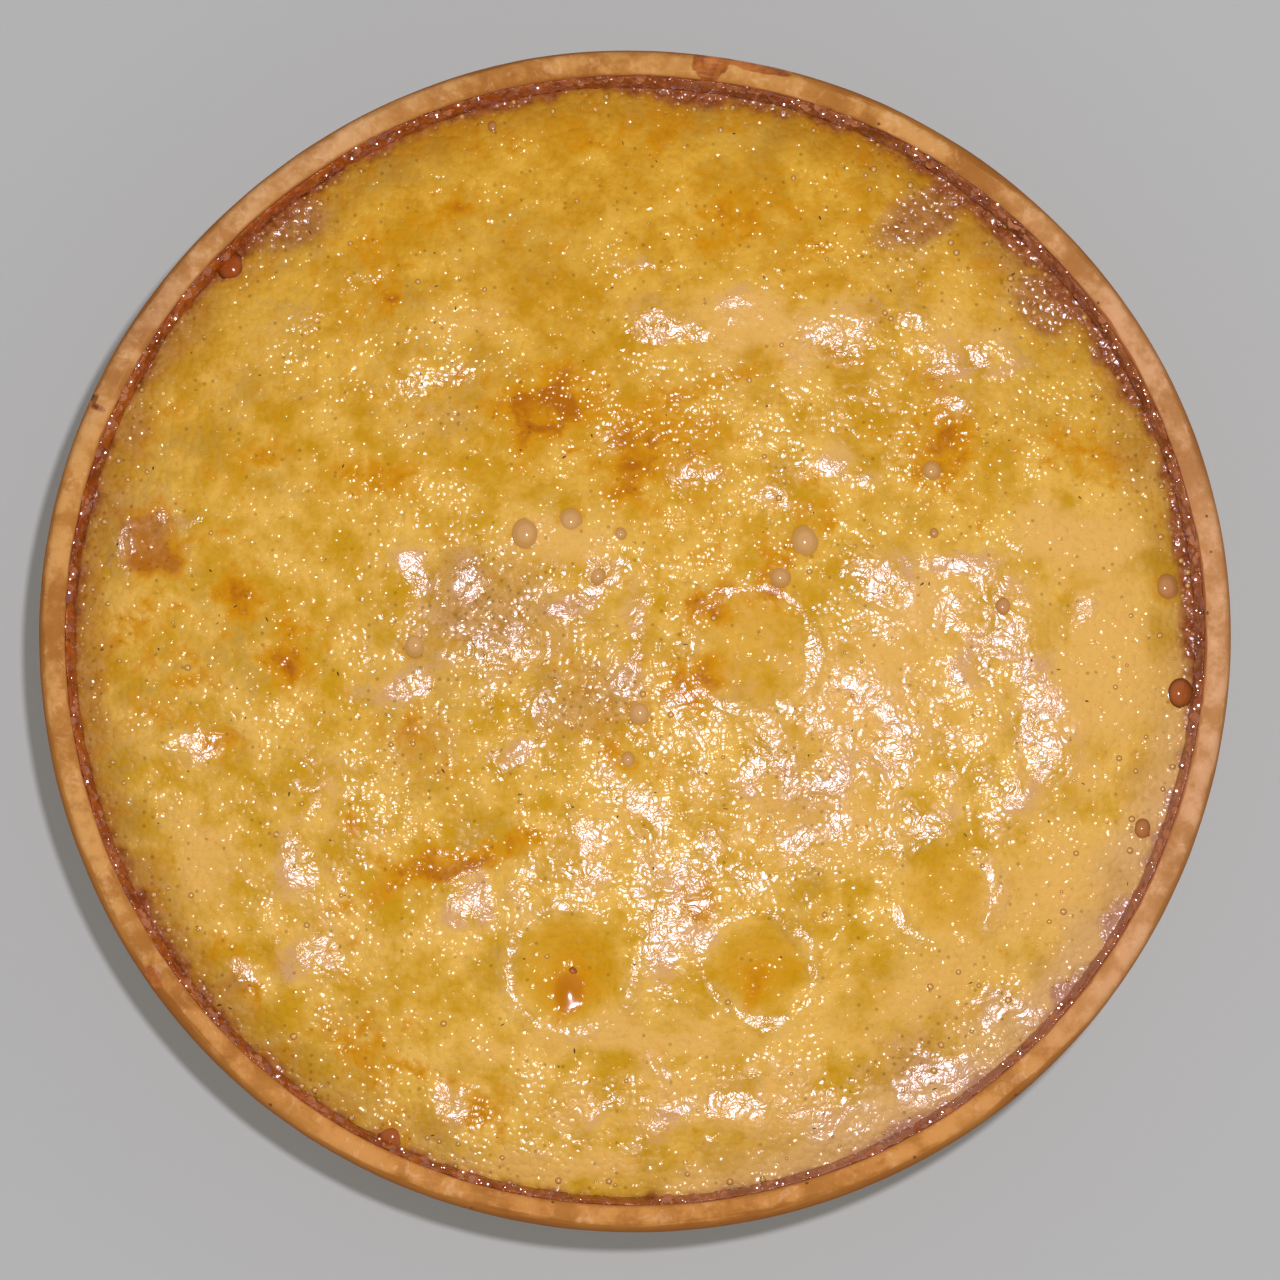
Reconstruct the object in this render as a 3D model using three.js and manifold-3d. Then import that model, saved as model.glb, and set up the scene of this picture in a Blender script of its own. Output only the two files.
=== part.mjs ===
// Mishti doi: sweet milk curd, set in a hand-thrown earthenware dish and still whole in it.
// Millimetres, +Z up. The origin is the middle of the dish's foot, on the surface that it stands on.
import * as THREE from "three";
import { mergeVertices } from "three/addons/utils/BufferGeometryUtils.js";
import Module from "manifold-3d";

const wasm = await Module();
wasm.setup();

const { degToRad, smoothstep } = THREE.MathUtils;

// The dish: a shallow bowl with a flat foot, a round belly and a plain rounded lip.
const RIM_RADIUS = 100;
const DISH_HEIGHT = 52;
const LIP_THICKNESS = 4.7;
const LIP_ROUND = 1.9; // height of the lip's rounded top
const FOOT_RADIUS = 58;
const FLOOR_THICKNESS = 7;
const FLOOR_RADIUS = 54;
const BELLY_OUT = 24; // how far the belly runs out from the foot before it turns up
const BELLY_LOW = 4;
const BELLY_HIGH = 21;
const BELLY_INSET = 2.5; // how far inside the rim the belly stays where it turns up
const WALL_TURN = 2; // height between the outer and the inner turn of the wall
const DISH_SIDES = 84;
const WALL_STEPS = 9;
const LIP_STEPS = 6;

// Throwing by hand leaves the rim a little oval, wavy and flattened at one place.
const RIM_OVAL = 0.12;
const RIM_WAVE = { depth: 0.15, count: 5 };
const RIM_RISE = { height: 0.3, phase: 1 };
const FLAT_SPOT = { angle: degToRad(83), depth: 0.5, halfWidth: degToRad(14) };

// Chips in the lip: where round the rim, how far from its middle line, and length, width and depth.
const CHIPS = [
  { angle: degToRad(82.5), out: 0.2, length: 5.6, width: 5.2, depth: 0.9 },
  { angle: degToRad(156.7), out: 1.9, length: 2.4, width: 2.6, depth: 1.2 },
  { angle: degToRad(0.6), out: 2.3, length: 2.2, width: 1.5, depth: 1.6 },
];
const CHIP_SIDES = 12;
const CHIP_RINGS = 8;

// The curd: it fills the dish to a little below the lip, and has shrunk clear of the wall by a hair.
const CURD_LEVEL = 46.5;
const WALL_GAP = 0.3;
const CREAM_SKIN = 0.55; // the cream skin ends in a step of this height
const EDGE_RISE = 0.15; // the curd clings to the wall and rises there
const EDGE_WIDTH = 4;
const FLAT_EDGE = 12; // the folds die away over this distance from the wall
const BARE_RING = { width: 2.4, change: 1.1, widestAt: degToRad(60), fade: 1.5 };
const RELIEF_CELL = 3.5;

// Slow folds in the skin: length and height of each wave, and the way it runs.
const FOLDS = [
  { length: 33, height: 0.17, heading: degToRad(35), phase: 0.4 },
  { length: 24, height: 0.14, heading: degToRad(118), phase: 1.9 },
  { length: 17, height: 0.1, heading: degToRad(-20), phase: 3.2 },
  { length: 13, height: 0.07, heading: degToRad(75), phase: 5.1 },
];
const FOLD_BEND = { reach: 6, length: 130, phaseX: 0.7, phaseY: 2.1 }; // how the folds wander sideways

// Round dimples in the skin: x, y, radius and depth. Each has a low raised ring round it.
const DIMPLES = [
  [-11.0, -57.0, 9.2, 1.4],
  [20.3, -56.5, 8.4, 1.3],
  [52.0, -43.8, 8.0, 1.1],
  [20.3, -3.0, 9.5, 0.8],
  [-81.6, 14.8, 6.0, 0.6],
  [54.2, 32.6, 6.5, 0.5],
  [-26.2, -77.5, 6.5, 0.5],
  [-5.0, 7.1, 8.0, 0.6],
  [-29.2, -35.0, 9.5, 0.6],
];
const RING_RISE = 0.3; // height of the raised ring, as a share of the dimple's depth
const RING_AT = 1.15; // its place and its width, in dimple radii
const RING_WIDTH = 0.3;

// Tears in the skin that bare the brown curd: x, y, the two half lengths and the heading of the first.
const TEARS = [
  [49.3, 71.5, 9.5, 5.2, degToRad(28)],
  [-58.4, 70.0, 7.5, 4.2, degToRad(31)],
  [70.0, 55.9, 6.5, 5.0, degToRad(-50)],
];
const TEAR_EDGE = 0.2; // width of a tear's sloping edge, as a share of its half lengths

// The largest blisters in the skin: x, y and radius.
const BLISTERS = [
  [-18.6, 16.8, 2.3],
  [-11.0, 19.0, 2.1],
  [28.8, 15.5, 2.3],
  [24.6, 9.3, 1.8],
  [0.8, -13.7, 1.9],
  [-1.2, -21.7, 1.4],
  [-37.3, -2.2, 2.1],
  [50.4, 27.5, 1.5],
  [-6.4, 9.7, 1.4],
  [62.3, 4.3, 1.4],
  [90.0, 7.6, 2.1],
  [85.5, -33.3, 1.7],
  [91.6, -10.4, 2.4],
  [-68.3, 61.9, 2.6],
  [-40.7, -84.9, 2.6],
];
const BLISTER_HEIGHT = 0.38; // as a share of the radius
const BLISTER_SIDES = 9;
const BLISTER_RINGS = 6;

// A closed three.js geometry as a solid that can be joined and cut.
function solidFrom(geometry) {
  const bare = geometry.clone();
  bare.deleteAttribute("normal");
  bare.deleteAttribute("uv");
  const merged = mergeVertices(bare);
  return new wasm.Manifold(
    new wasm.Mesh({
      numProp: 3,
      vertProperties: merged.attributes.position.array,
      triVerts: Uint32Array.from(merged.index.array),
    }),
  );
}

function geometryFrom(solid) {
  const { vertProperties, triVerts } = solid.getMesh();
  const geometry = new THREE.BufferGeometry();
  geometry.setAttribute("position", new THREE.BufferAttribute(vertProperties, 3));
  geometry.setIndex(new THREE.BufferAttribute(triVerts, 1));
  return geometry;
}

// A profile of radius and height, turned round the upright axis.
function turned(profile) {
  return new THREE.LatheGeometry(profile, DISH_SIDES).rotateX(Math.PI / 2);
}

// The inner face of the dish from the floor up to the lip, drawn in by a gap for what fills it.
function cavityWall(gap) {
  const lipInner = RIM_RADIUS - LIP_THICKNESS;
  return new THREE.CubicBezierCurve(
    new THREE.Vector2(FLOOR_RADIUS, FLOOR_THICKNESS + gap),
    new THREE.Vector2(FLOOR_RADIUS + BELLY_OUT, FLOOR_THICKNESS + gap),
    new THREE.Vector2(lipInner - BELLY_INSET - gap, BELLY_HIGH + WALL_TURN),
    new THREE.Vector2(lipInner - gap, DISH_HEIGHT - LIP_ROUND),
  ).getPoints(WALL_STEPS);
}

function dishProfile() {
  const outerWall = new THREE.CubicBezierCurve(
    new THREE.Vector2(FOOT_RADIUS, 0),
    new THREE.Vector2(FOOT_RADIUS + BELLY_OUT, BELLY_LOW),
    new THREE.Vector2(RIM_RADIUS - BELLY_INSET, BELLY_HIGH),
    new THREE.Vector2(RIM_RADIUS, DISH_HEIGHT - LIP_ROUND),
  ).getPoints(WALL_STEPS);
  const lip = new THREE.EllipseCurve(
    RIM_RADIUS - LIP_THICKNESS / 2,
    DISH_HEIGHT - LIP_ROUND,
    LIP_THICKNESS / 2,
    LIP_ROUND,
    0,
    Math.PI,
  ).getPoints(LIP_STEPS);
  return [
    new THREE.Vector2(0, 0),
    ...outerWall,
    ...lip.slice(1, -1),
    ...cavityWall(0).reverse(),
    new THREE.Vector2(0, FLOOR_THICKNESS),
  ];
}

// One chip: a shallow oval bite, lying along the lip.
function chip({ angle, out, length, width, depth }) {
  const bite = new THREE.SphereGeometry(1, CHIP_SIDES, CHIP_RINGS);
  bite.scale(width / 2, length / 2, depth);
  bite.translate(RIM_RADIUS - LIP_THICKNESS / 2 + out, 0, DISH_HEIGHT);
  return solidFrom(bite.rotateZ(angle));
}

function rimOut(angle) {
  const fromSpot = (angle - FLAT_SPOT.angle) / FLAT_SPOT.halfWidth;
  const flattened = FLAT_SPOT.depth * Math.exp(-fromSpot * fromSpot);
  const waved = RIM_WAVE.depth * Math.sin(RIM_WAVE.count * angle);
  return RIM_OVAL * Math.cos(2 * angle) + waved - flattened;
}

// Moves a true round piece into the hand-thrown form. The foot stays flat, and the rim moves most.
function handThrown(geometry) {
  const place = geometry.attributes.position;
  const point = new THREE.Vector3();
  for (let i = 0; i < place.count; i++) {
    point.fromBufferAttribute(place, i);
    const angle = Math.atan2(point.y, point.x);
    const out = Math.hypot(point.x, point.y) / RIM_RADIUS;
    const up = point.z / DISH_HEIGHT;
    const spread = 1 + (up * rimOut(angle)) / RIM_RADIUS;
    const rise = RIM_RISE.height * Math.sin(2 * angle + RIM_RISE.phase) * out * out * up;
    place.setXYZ(i, point.x * spread, point.y * spread, point.z + rise);
  }
  geometry.computeVertexNormals();
  return geometry;
}

function makeDish() {
  const whole = solidFrom(turned(dishProfile()));
  const chipped = CHIPS.map(chip).reduce((dish, bite) => dish.subtract(bite), whole);
  return new THREE.Mesh(
    handThrown(geometryFrom(chipped)),
    new THREE.MeshStandardMaterial({ color: 0xc18a57, roughness: 0.85, metalness: 0 }),
  );
}

function foldHeight(x, y) {
  const turn = (2 * Math.PI) / FOLD_BEND.length;
  const bentX = x + FOLD_BEND.reach * Math.sin(turn * y + FOLD_BEND.phaseX);
  const bentY = y + FOLD_BEND.reach * Math.sin(turn * x + FOLD_BEND.phaseY);
  return FOLDS.reduce((sum, { length, height, heading, phase }) => {
    const along = bentX * Math.cos(heading) + bentY * Math.sin(heading);
    return sum + height * Math.sin((2 * Math.PI * along) / length + phase);
  }, 0);
}

function dimpleHeight(x, y) {
  return DIMPLES.reduce((sum, [cx, cy, radius, depth]) => {
    const away = Math.hypot(x - cx, y - cy) / radius;
    const hollow = away < 1 ? (1 + Math.cos(Math.PI * away)) / 2 : 0;
    const ring = RING_RISE * Math.exp(-(((away - RING_AT) / RING_WIDTH) ** 2));
    return sum + depth * (ring - hollow);
  }, 0);
}

// 1 where the brown curd is bare, in the ring along the wall and in the tears, and 0 under the skin.
function bareShare(x, y) {
  const reach = RIM_RADIUS - LIP_THICKNESS - Math.hypot(x, y);
  const swing = Math.cos(Math.atan2(y, x) - BARE_RING.widestAt);
  const ring = BARE_RING.width + BARE_RING.change * swing;
  const atWall = 1 - smoothstep(reach, ring, ring + BARE_RING.fade);
  return TEARS.reduce((most, [cx, cy, long, short, heading]) => {
    const along = (x - cx) * Math.cos(heading) + (y - cy) * Math.sin(heading);
    const across = (y - cy) * Math.cos(heading) - (x - cx) * Math.sin(heading);
    const away = Math.hypot(along / long, across / short);
    return Math.max(most, 1 - smoothstep(away, 1 - TEAR_EDGE, 1 + TEAR_EDGE));
  }, atWall);
}

function curdHeight(x, y) {
  const reach = RIM_RADIUS - LIP_THICKNESS - Math.hypot(x, y);
  const inside = smoothstep(reach, 0, FLAT_EDGE);
  const rise = EDGE_RISE * (1 - smoothstep(reach, 0, EDGE_WIDTH));
  const skin = foldHeight(x, y) * inside + dimpleHeight(x, y);
  return CURD_LEVEL + skin + rise - CREAM_SKIN * bareShare(x, y);
}

// A block whose top is the uneven surface of the curd, wider and deeper than the dish.
function curdBlock() {
  const side = 2 * RIM_RADIUS;
  const cells = Math.ceil(side / RELIEF_CELL);
  const block = new THREE.BoxGeometry(side, side, 2 * DISH_HEIGHT, cells, cells, 1);
  const place = block.attributes.position;
  for (let i = 0; i < place.count; i++) {
    if (place.getZ(i) > 0) place.setZ(i, curdHeight(place.getX(i), place.getY(i)));
  }
  return solidFrom(block);
}

// What fills the dish to the lip.
function cavityFilling() {
  const wall = cavityWall(WALL_GAP);
  return solidFrom(
    turned([
      new THREE.Vector2(0, FLOOR_THICKNESS + WALL_GAP),
      ...wall,
      new THREE.Vector2(0, wall.at(-1).y),
    ]),
  );
}

function blister([x, y, radius]) {
  const dome = new THREE.SphereGeometry(radius, BLISTER_SIDES, BLISTER_RINGS);
  dome.scale(1, BLISTER_HEIGHT, 1);
  return solidFrom(dome.rotateX(Math.PI / 2).translate(x, y, curdHeight(x, y)));
}

function makeCurd() {
  const blistered = BLISTERS.map(blister).reduce((curd, dome) => curd.add(dome), curdBlock());
  return new THREE.Mesh(
    handThrown(geometryFrom(cavityFilling().intersect(blistered))),
    new THREE.MeshStandardMaterial({ color: 0xd4a141, roughness: 0.3, metalness: 0 }),
  );
}

const mishtiDoi = new THREE.Group();
const dish = makeDish();
dish.name = "earthenware_dish";
const curd = makeCurd();
curd.name = "doi_curd";
mishtiDoi.add(dish, curd);

export default mishtiDoi;
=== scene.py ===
import math
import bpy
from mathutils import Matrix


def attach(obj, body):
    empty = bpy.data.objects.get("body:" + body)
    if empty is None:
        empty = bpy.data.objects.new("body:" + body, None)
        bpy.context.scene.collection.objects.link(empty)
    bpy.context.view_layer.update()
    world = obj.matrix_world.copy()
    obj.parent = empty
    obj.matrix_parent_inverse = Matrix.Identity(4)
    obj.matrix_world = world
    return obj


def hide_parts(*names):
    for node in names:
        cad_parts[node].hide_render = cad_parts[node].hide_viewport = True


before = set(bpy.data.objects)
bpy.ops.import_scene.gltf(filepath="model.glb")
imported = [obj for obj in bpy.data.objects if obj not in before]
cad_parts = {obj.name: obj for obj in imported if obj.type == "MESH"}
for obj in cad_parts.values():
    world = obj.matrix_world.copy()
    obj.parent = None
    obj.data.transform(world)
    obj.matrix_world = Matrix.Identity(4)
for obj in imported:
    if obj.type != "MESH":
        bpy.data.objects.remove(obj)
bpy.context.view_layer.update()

from types import SimpleNamespace

import bpy
import numpy as np
from mathutils import Vector

MM = 0.001

# The clay dish
# A shallow bowl of low-fired clay, thrown by hand on a wheel and left unglazed. The potter's wet fingers
# left faint rings round the outside. The lip's top is painted pale, partly as the clay's own pale bloom and
# partly as a painted highlight where it faces the light; its outer rounding is painted darker as shade. A
# few chips have broken off since.
RIM_RADIUS = 100 * MM
DISH_HEIGHT = 52 * MM
LIP_THICKNESS = 4.7 * MM
LIP_ROUND = 1.9 * MM
FOOT_RADIUS = 58 * MM
FLOOR_THICKNESS = 7 * MM
FLOOR_RADIUS = 54 * MM
BELLY_OUT = 24 * MM
BELLY_LOW = 4 * MM
BELLY_HIGH = 21 * MM
BELLY_INSET = 2.5 * MM
WALL_TURN = 2 * MM
WALL_FOOT = FLOOR_RADIUS + BELLY_OUT
LIP_INNER = RIM_RADIUS - LIP_THICKNESS
LIP_MIDDLE = RIM_RADIUS - LIP_THICKNESS / 2
LIP_BASE = DISH_HEIGHT - LIP_ROUND

# How many strips make each band of the bowl, and how many sides it has.
DISH_SIDES = 720
FOOT_ROWS = 3
OUTSIDE_ROWS = 44
LIP_ROWS = 22
INSIDE_ROWS = 26
FLOOR_ROWS = 3
SEAM = 0.01 * MM

# What the potter's hand left: a rim that is slightly oval, wavy and flat on one side, and rings that
# wander as they go round. The rings fade out towards the lip and the foot.
RIM_OVAL = 0.12 * MM
RIM_WAVE = 0.15 * MM
RIM_WAVES = 5
RIM_RISE = 0.3 * MM
RIM_RISE_PHASE = 1
FLAT_SPOT = math.radians(83)
FLAT_SPOT_DEPTH = 0.5 * MM
FLAT_SPOT_HALF = math.radians(14)
RING_WANDER = 9
RING_WANDER_SIZE = 45 * MM
RING_FADE = 6 * MM
FOOT_FADE = (1 * MM, 6 * MM)

# Chips in the lip: where round it, in degrees, how far from its middle line, length, width and depth, and
# how burnt each is. Their edges are ragged, given as the reach and size of each ripple.
CHIPS = [
    (82.5, 0.1 * MM, 6.4 * MM, 5.6 * MM, 0.9 * MM, 0.15),
    (77.5, 1.3 * MM, 13 * MM, 2.2 * MM, 0.05 * MM, 0),
    (156.7, 1.9 * MM, 2.2 * MM, 2.4 * MM, 1.2 * MM, 0.6),
    (157.6, 0.2 * MM, 0.8 * MM, 3.2 * MM, 0.1 * MM, 0.5),
    (0.6, 2.3 * MM, 2.2 * MM, 1.5 * MM, 1.6 * MM, 0.2),
    (216, 0.6 * MM, 5 * MM, 2.4 * MM, 0.1 * MM, 0),
]
CHIP_EDGE = [(1.0, 1.6 * MM), (0.6, 0.7 * MM)]
CHIP_RAGGED = 0.35


class Wire:
    """A node's output. Arithmetic on it adds Math nodes to its tree."""

    def __init__(self, socket):
        self.socket = socket
        self.tree = Tree(socket.id_data)

    def math(self, operation, *values):
        sockets = dict(enumerate((self, *values)))
        return self.tree.node("ShaderNodeMath", {"operation": operation}, sockets)

    def also(self, out):
        """Another output of the same node."""
        return Wire(self.socket.node.outputs[out])

    def __add__(self, other):
        return self.math("ADD", other)

    def __sub__(self, other):
        return self.math("SUBTRACT", other)

    def __rsub__(self, other):
        return self.math("MULTIPLY_ADD", -1, other)

    def __mul__(self, other):
        return self.math("MULTIPLY", other)

    def __truediv__(self, other):
        return self.math("DIVIDE", other)

    def __rtruediv__(self, other):
        return self.math("POWER", -1) * other

    def __pow__(self, other):
        return self.math("POWER", other)

    __radd__ = __add__
    __rmul__ = __mul__


class Tree:
    """A node tree that is written as calls."""

    def __init__(self, nodes):
        self.nodes = nodes

    def node(self, kind, settings=None, sockets=None, out=0):
        """Any node: its settings, then the value or wire of each socket. A list of wires goes into one."""
        node = self.nodes.nodes.new(kind)
        for name, value in (settings or {}).items():
            setattr(node, name, value)
        for key, value in (sockets or {}).items():
            for each in value if isinstance(value, list) else [value]:
                if isinstance(each, Wire):
                    self.nodes.links.new(each.socket, node.inputs[key])
                else:
                    node.inputs[key].default_value = each
        return Wire(node.outputs[out]) if node.outputs else None

    def place(self):
        """Where on the object a point is."""
        return self.node("ShaderNodeTexCoord", out="Object")

    def parts(self, vector):
        """The three numbers of a vector."""
        x = self.node("ShaderNodeSeparateXYZ", None, {0: vector}, out="X")
        return x, x.also("Y"), x.also("Z")

    def vector(self, x, y, z):
        return self.node("ShaderNodeCombineXYZ", None, {"X": x, "Y": y, "Z": z})

    def smooth(self, value, low, high):
        """0 below low, 1 above high, and smooth between them. High may be the lower one."""
        settings = {"interpolation_type": "SMOOTHSTEP"}
        return self.node("ShaderNodeMapRange", settings, {0: value, 1: low, 2: high})

    def blend(self, share, first, second):
        """The first colour where share is 0, and the second where it is 1."""
        sockets = {0: share, 6: first, 7: second}
        return self.node("ShaderNodeMix", {"data_type": "RGBA"}, sockets, out=2)

    def noise(self, where, size, detail=2.0, rough=0.5, warp=0.0):
        """Cloudy noise from 0 to 1, whose clouds are about one size across."""
        sockets = {"Vector": where, "Scale": 1 / size, "Detail": detail}
        sockets.update({"Roughness": rough, "Distortion": warp})
        return self.node("ShaderNodeTexNoise", None, sockets, out=0)

    def attribute(self, name):
        return self.node("ShaderNodeAttribute", {"attribute_name": name}, out="Fac")

    def bump(self, height, distance, strength=1.0):
        sockets = {"Strength": strength, "Distance": distance, "Height": height}
        return self.node("ShaderNodeBump", None, sockets)

    def surface(self, sockets):
        return self.node("ShaderNodeBsdfPrincipled", None, sockets)

    def moved(self, mesh, sockets):
        return self.node("GeometryNodeSetPosition", None, {"Geometry": mesh, **sockets})

    def pushed(self, mesh, distance):
        """A mesh whose points move out along their normals."""
        sockets = {0: self.node("GeometryNodeInputNormal"), "Scale": distance}
        offset = self.node("ShaderNodeVectorMath", {"operation": "SCALE"}, sockets)
        return self.moved(mesh, {"Offset": offset})

    def marked(self, mesh, name, value, domain="POINT"):
        """A mesh with a value stored by name, for its material."""
        sockets = {"Geometry": mesh, "Name": name, "Value": value}
        settings = {"data_type": "FLOAT", "domain": domain}
        return self.node("GeometryNodeStoreNamedAttribute", settings, sockets)


def srgb(red, green, blue):
    """A colour as seen on a screen, 0 to 255, as the linear colour that a shader takes."""
    shares = (value / 255 for value in (red, green, blue))
    linear = (s / 12.92 if s <= 0.04045 else ((s + 0.055) / 1.055) ** 2.4 for s in shares)
    return (*linear, 1.0)


def make_finish(name, paint):
    """A material whose surface is what paint returns."""
    material = bpy.data.materials.new(name)
    material.use_nodes = True
    material.node_tree.nodes.clear()
    tree = Tree(material.node_tree)
    tree.node("ShaderNodeOutputMaterial", None, {"Surface": paint(tree)})
    return material


def grow(name, sizes, shape, material, base=None):
    """A piece that a Geometry Nodes tree makes from named sizes, as a plain mesh."""
    group = bpy.data.node_groups.new(name, "GeometryNodeTree")
    group.interface.new_socket("Geometry", in_out="INPUT", socket_type="NodeSocketGeometry")
    group.interface.new_socket("Geometry", in_out="OUTPUT", socket_type="NodeSocketGeometry")
    keys = {}
    for label, value in sizes.items():
        kind = "NodeSocketInt" if isinstance(value, int) else "NodeSocketFloat"
        keys[label] = group.interface.new_socket(label, in_out="INPUT", socket_type=kind).identifier
    tree = Tree(group)
    start = tree.node("NodeGroupInput")
    made = shape(tree, start, {label: start.also(label) for label in sizes})
    made = tree.node("GeometryNodeRealizeInstances", None, {"Geometry": made})
    made = tree.node("GeometryNodeSetMaterial", None, {"Geometry": made, "Material": material})
    tree.node("NodeGroupOutput", None, {"Geometry": made})
    piece = bpy.data.objects.new(name, base.copy() if base else bpy.data.meshes.new(name))
    bpy.context.scene.collection.objects.link(piece)
    modifier = piece.modifiers.new(name, "NODES")
    modifier.node_group = group
    for label, key in keys.items():
        modifier[key] = sizes[label]
    evaluated = piece.evaluated_get(bpy.context.evaluated_depsgraph_get())
    mesh = bpy.data.meshes.new_from_object(evaluated)
    piece.modifiers.remove(modifier)
    piece.data = mesh
    mesh.name = name
    mesh.shade_smooth()
    return piece


def points_of(mesh):
    flat = np.empty(3 * len(mesh.vertices))
    mesh.vertices.foreach_get("co", flat)
    return flat.reshape(-1, 3)


def put_points(mesh, points):
    mesh.vertices.foreach_set("co", points.ravel())
    mesh.update()


def put_values(mesh, name, values):
    """One number for each vertex, which a material reads by this name."""
    layer = mesh.attributes.new(name, "FLOAT", "POINT")
    layer.data.foreach_set("value", np.asarray(values, np.float32))


def ripple(x, y, size, seed):
    """Seeded gradient noise, about -1 to 1, whose hills and hollows are about one size apart."""
    rng = np.random.default_rng(seed)
    heading = rng.uniform(0, math.tau, (256, 256))
    u, v = x / size + 128, y / size + 128
    column, row = np.floor(u).astype(int), np.floor(v).astype(int)
    u, v = u - column, v - row

    def slope(i, j):
        turn = heading[(column + i) % 256, (row + j) % 256]
        return np.cos(turn) * (u - i) + np.sin(turn) * (v - j)

    across = u**3 * (u * (6 * u - 15) + 10)
    along = v**3 * (v * (6 * v - 15) + 10)
    low = slope(0, 0) * (1 - across) + slope(1, 0) * across
    high = slope(0, 1) * (1 - across) + slope(1, 1) * across
    return 1.6 * (low * (1 - along) + high * along)


def ripples(x, y, layers, seed):
    """Several ripples on top of each other, each given as its reach and size."""
    return sum(reach * ripple(x, y, size, seed + step) for step, (reach, size) in enumerate(layers))


def hand_thrown(points):
    """Moves points of a true round piece to where the potter's hand left them."""
    x, y, z = points.T
    angle = np.arctan2(y, x)
    flattened = FLAT_SPOT_DEPTH * np.exp(-(((angle - FLAT_SPOT) / FLAT_SPOT_HALF) ** 2))
    out = RIM_OVAL * np.cos(2 * angle) + RIM_WAVE * np.sin(RIM_WAVES * angle) - flattened
    up = z / DISH_HEIGHT
    spread = 1 + up * out / RIM_RADIUS
    rise = RIM_RISE * np.sin(2 * angle + RIM_RISE_PHASE) * (x * x + y * y) / RIM_RADIUS**2 * up
    return np.stack([x * spread, y * spread, z + rise], axis=1)


def bezier(share, start, first, second, end):
    """A cubic curve, for numbers, arrays and wires alike."""
    left = 1 - share
    near = left * left * left * start + 3 * left * left * share * first
    return near + 3 * left * share * share * second + share * share * share * end


def inner_wall(share):
    """Radius and height of the dish's inner face, from the floor at 0 to the lip at 1."""
    radius = bezier(share, FLOOR_RADIUS, WALL_FOOT, LIP_INNER - BELLY_INSET, LIP_INNER)
    return radius, bezier(share, FLOOR_THICKNESS, FLOOR_THICKNESS, BELLY_HIGH + WALL_TURN, LIP_BASE)


def turned_band(tree, sides, rows, profile, lip=None):
    """One band of the profile, turned once round, and marked with how far across the lip it lies: from 0,
    outside, to 1, inside. The lip's own band gives no lip."""
    grid = tree.node("GeometryNodeMeshGrid", None, {"Vertices X": sides + 1, "Vertices Y": rows + 1})
    turn, step = tree.parts(grid.also("UV Map"))[:2]
    radius, height = profile(step)
    angle = turn * math.tau
    point = tree.vector(radius * angle.math("COSINE"), radius * angle.math("SINE"), height)
    return tree.marked(tree.moved(grid, {"Position": point}), "lip", step if lip is None else lip)


def turn_dish(tree, start, size):
    """The bowl as it comes off the wheel, from under the foot over the lip to the middle of the floor."""
    foot, rim, lip_base = size["Foot radius"], size["Rim radius"], size["Lip base"]
    half = size["Lip thickness"] / 2

    def underside(step):
        return foot * step, step * 0

    def outside(step):
        radius = bezier(step, foot, foot + BELLY_OUT, rim - BELLY_INSET, rim)
        return radius, bezier(step, 0, BELLY_LOW, BELLY_HIGH, lip_base)

    def lip(step):
        turn = step * math.pi
        return rim - half + half * turn.math("COSINE"), lip_base + LIP_ROUND * turn.math("SINE")

    def inside(step):
        return inner_wall(1 - step)

    def floor(step):
        return (1 - step) * FLOOR_RADIUS, step * 0 + FLOOR_THICKNESS

    sides = size["Sides"]
    bands = [
        turned_band(tree, sides, FOOT_ROWS, underside, 0.0),
        turned_band(tree, sides, OUTSIDE_ROWS, outside, 0.0),
        turned_band(tree, sides, LIP_ROWS, lip),
        turned_band(tree, sides, INSIDE_ROWS, inside, 1.0),
        turned_band(tree, sides, FLOOR_ROWS, floor, 1.0),
    ]
    joined = tree.node("GeometryNodeJoinGeometry", None, {0: bands})
    whole = tree.node("GeometryNodeMergeByDistance", None, {"Geometry": joined, "Distance": SEAM})
    # Rings and hollows are cut inwards, so that the rim keeps its width.
    place = tree.node("GeometryNodeInputPosition")
    height = tree.parts(place)[2]
    hollow = tree.noise(place, size["Hollow size"], 3.0) * size["Hollow depth"]
    wander = tree.noise(place, RING_WANDER_SIZE, 1.0) * RING_WANDER
    ring = (height / size["Ring spacing"] * math.tau + wander).math("SINE") * 0.5 + 0.5
    cut = hollow + ring * size["Ring depth"] * tree.smooth(height, LIP_BASE, LIP_BASE - RING_FADE)
    return tree.pushed(whole, cut * tree.smooth(height, *FOOT_FADE) * -1)


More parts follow.
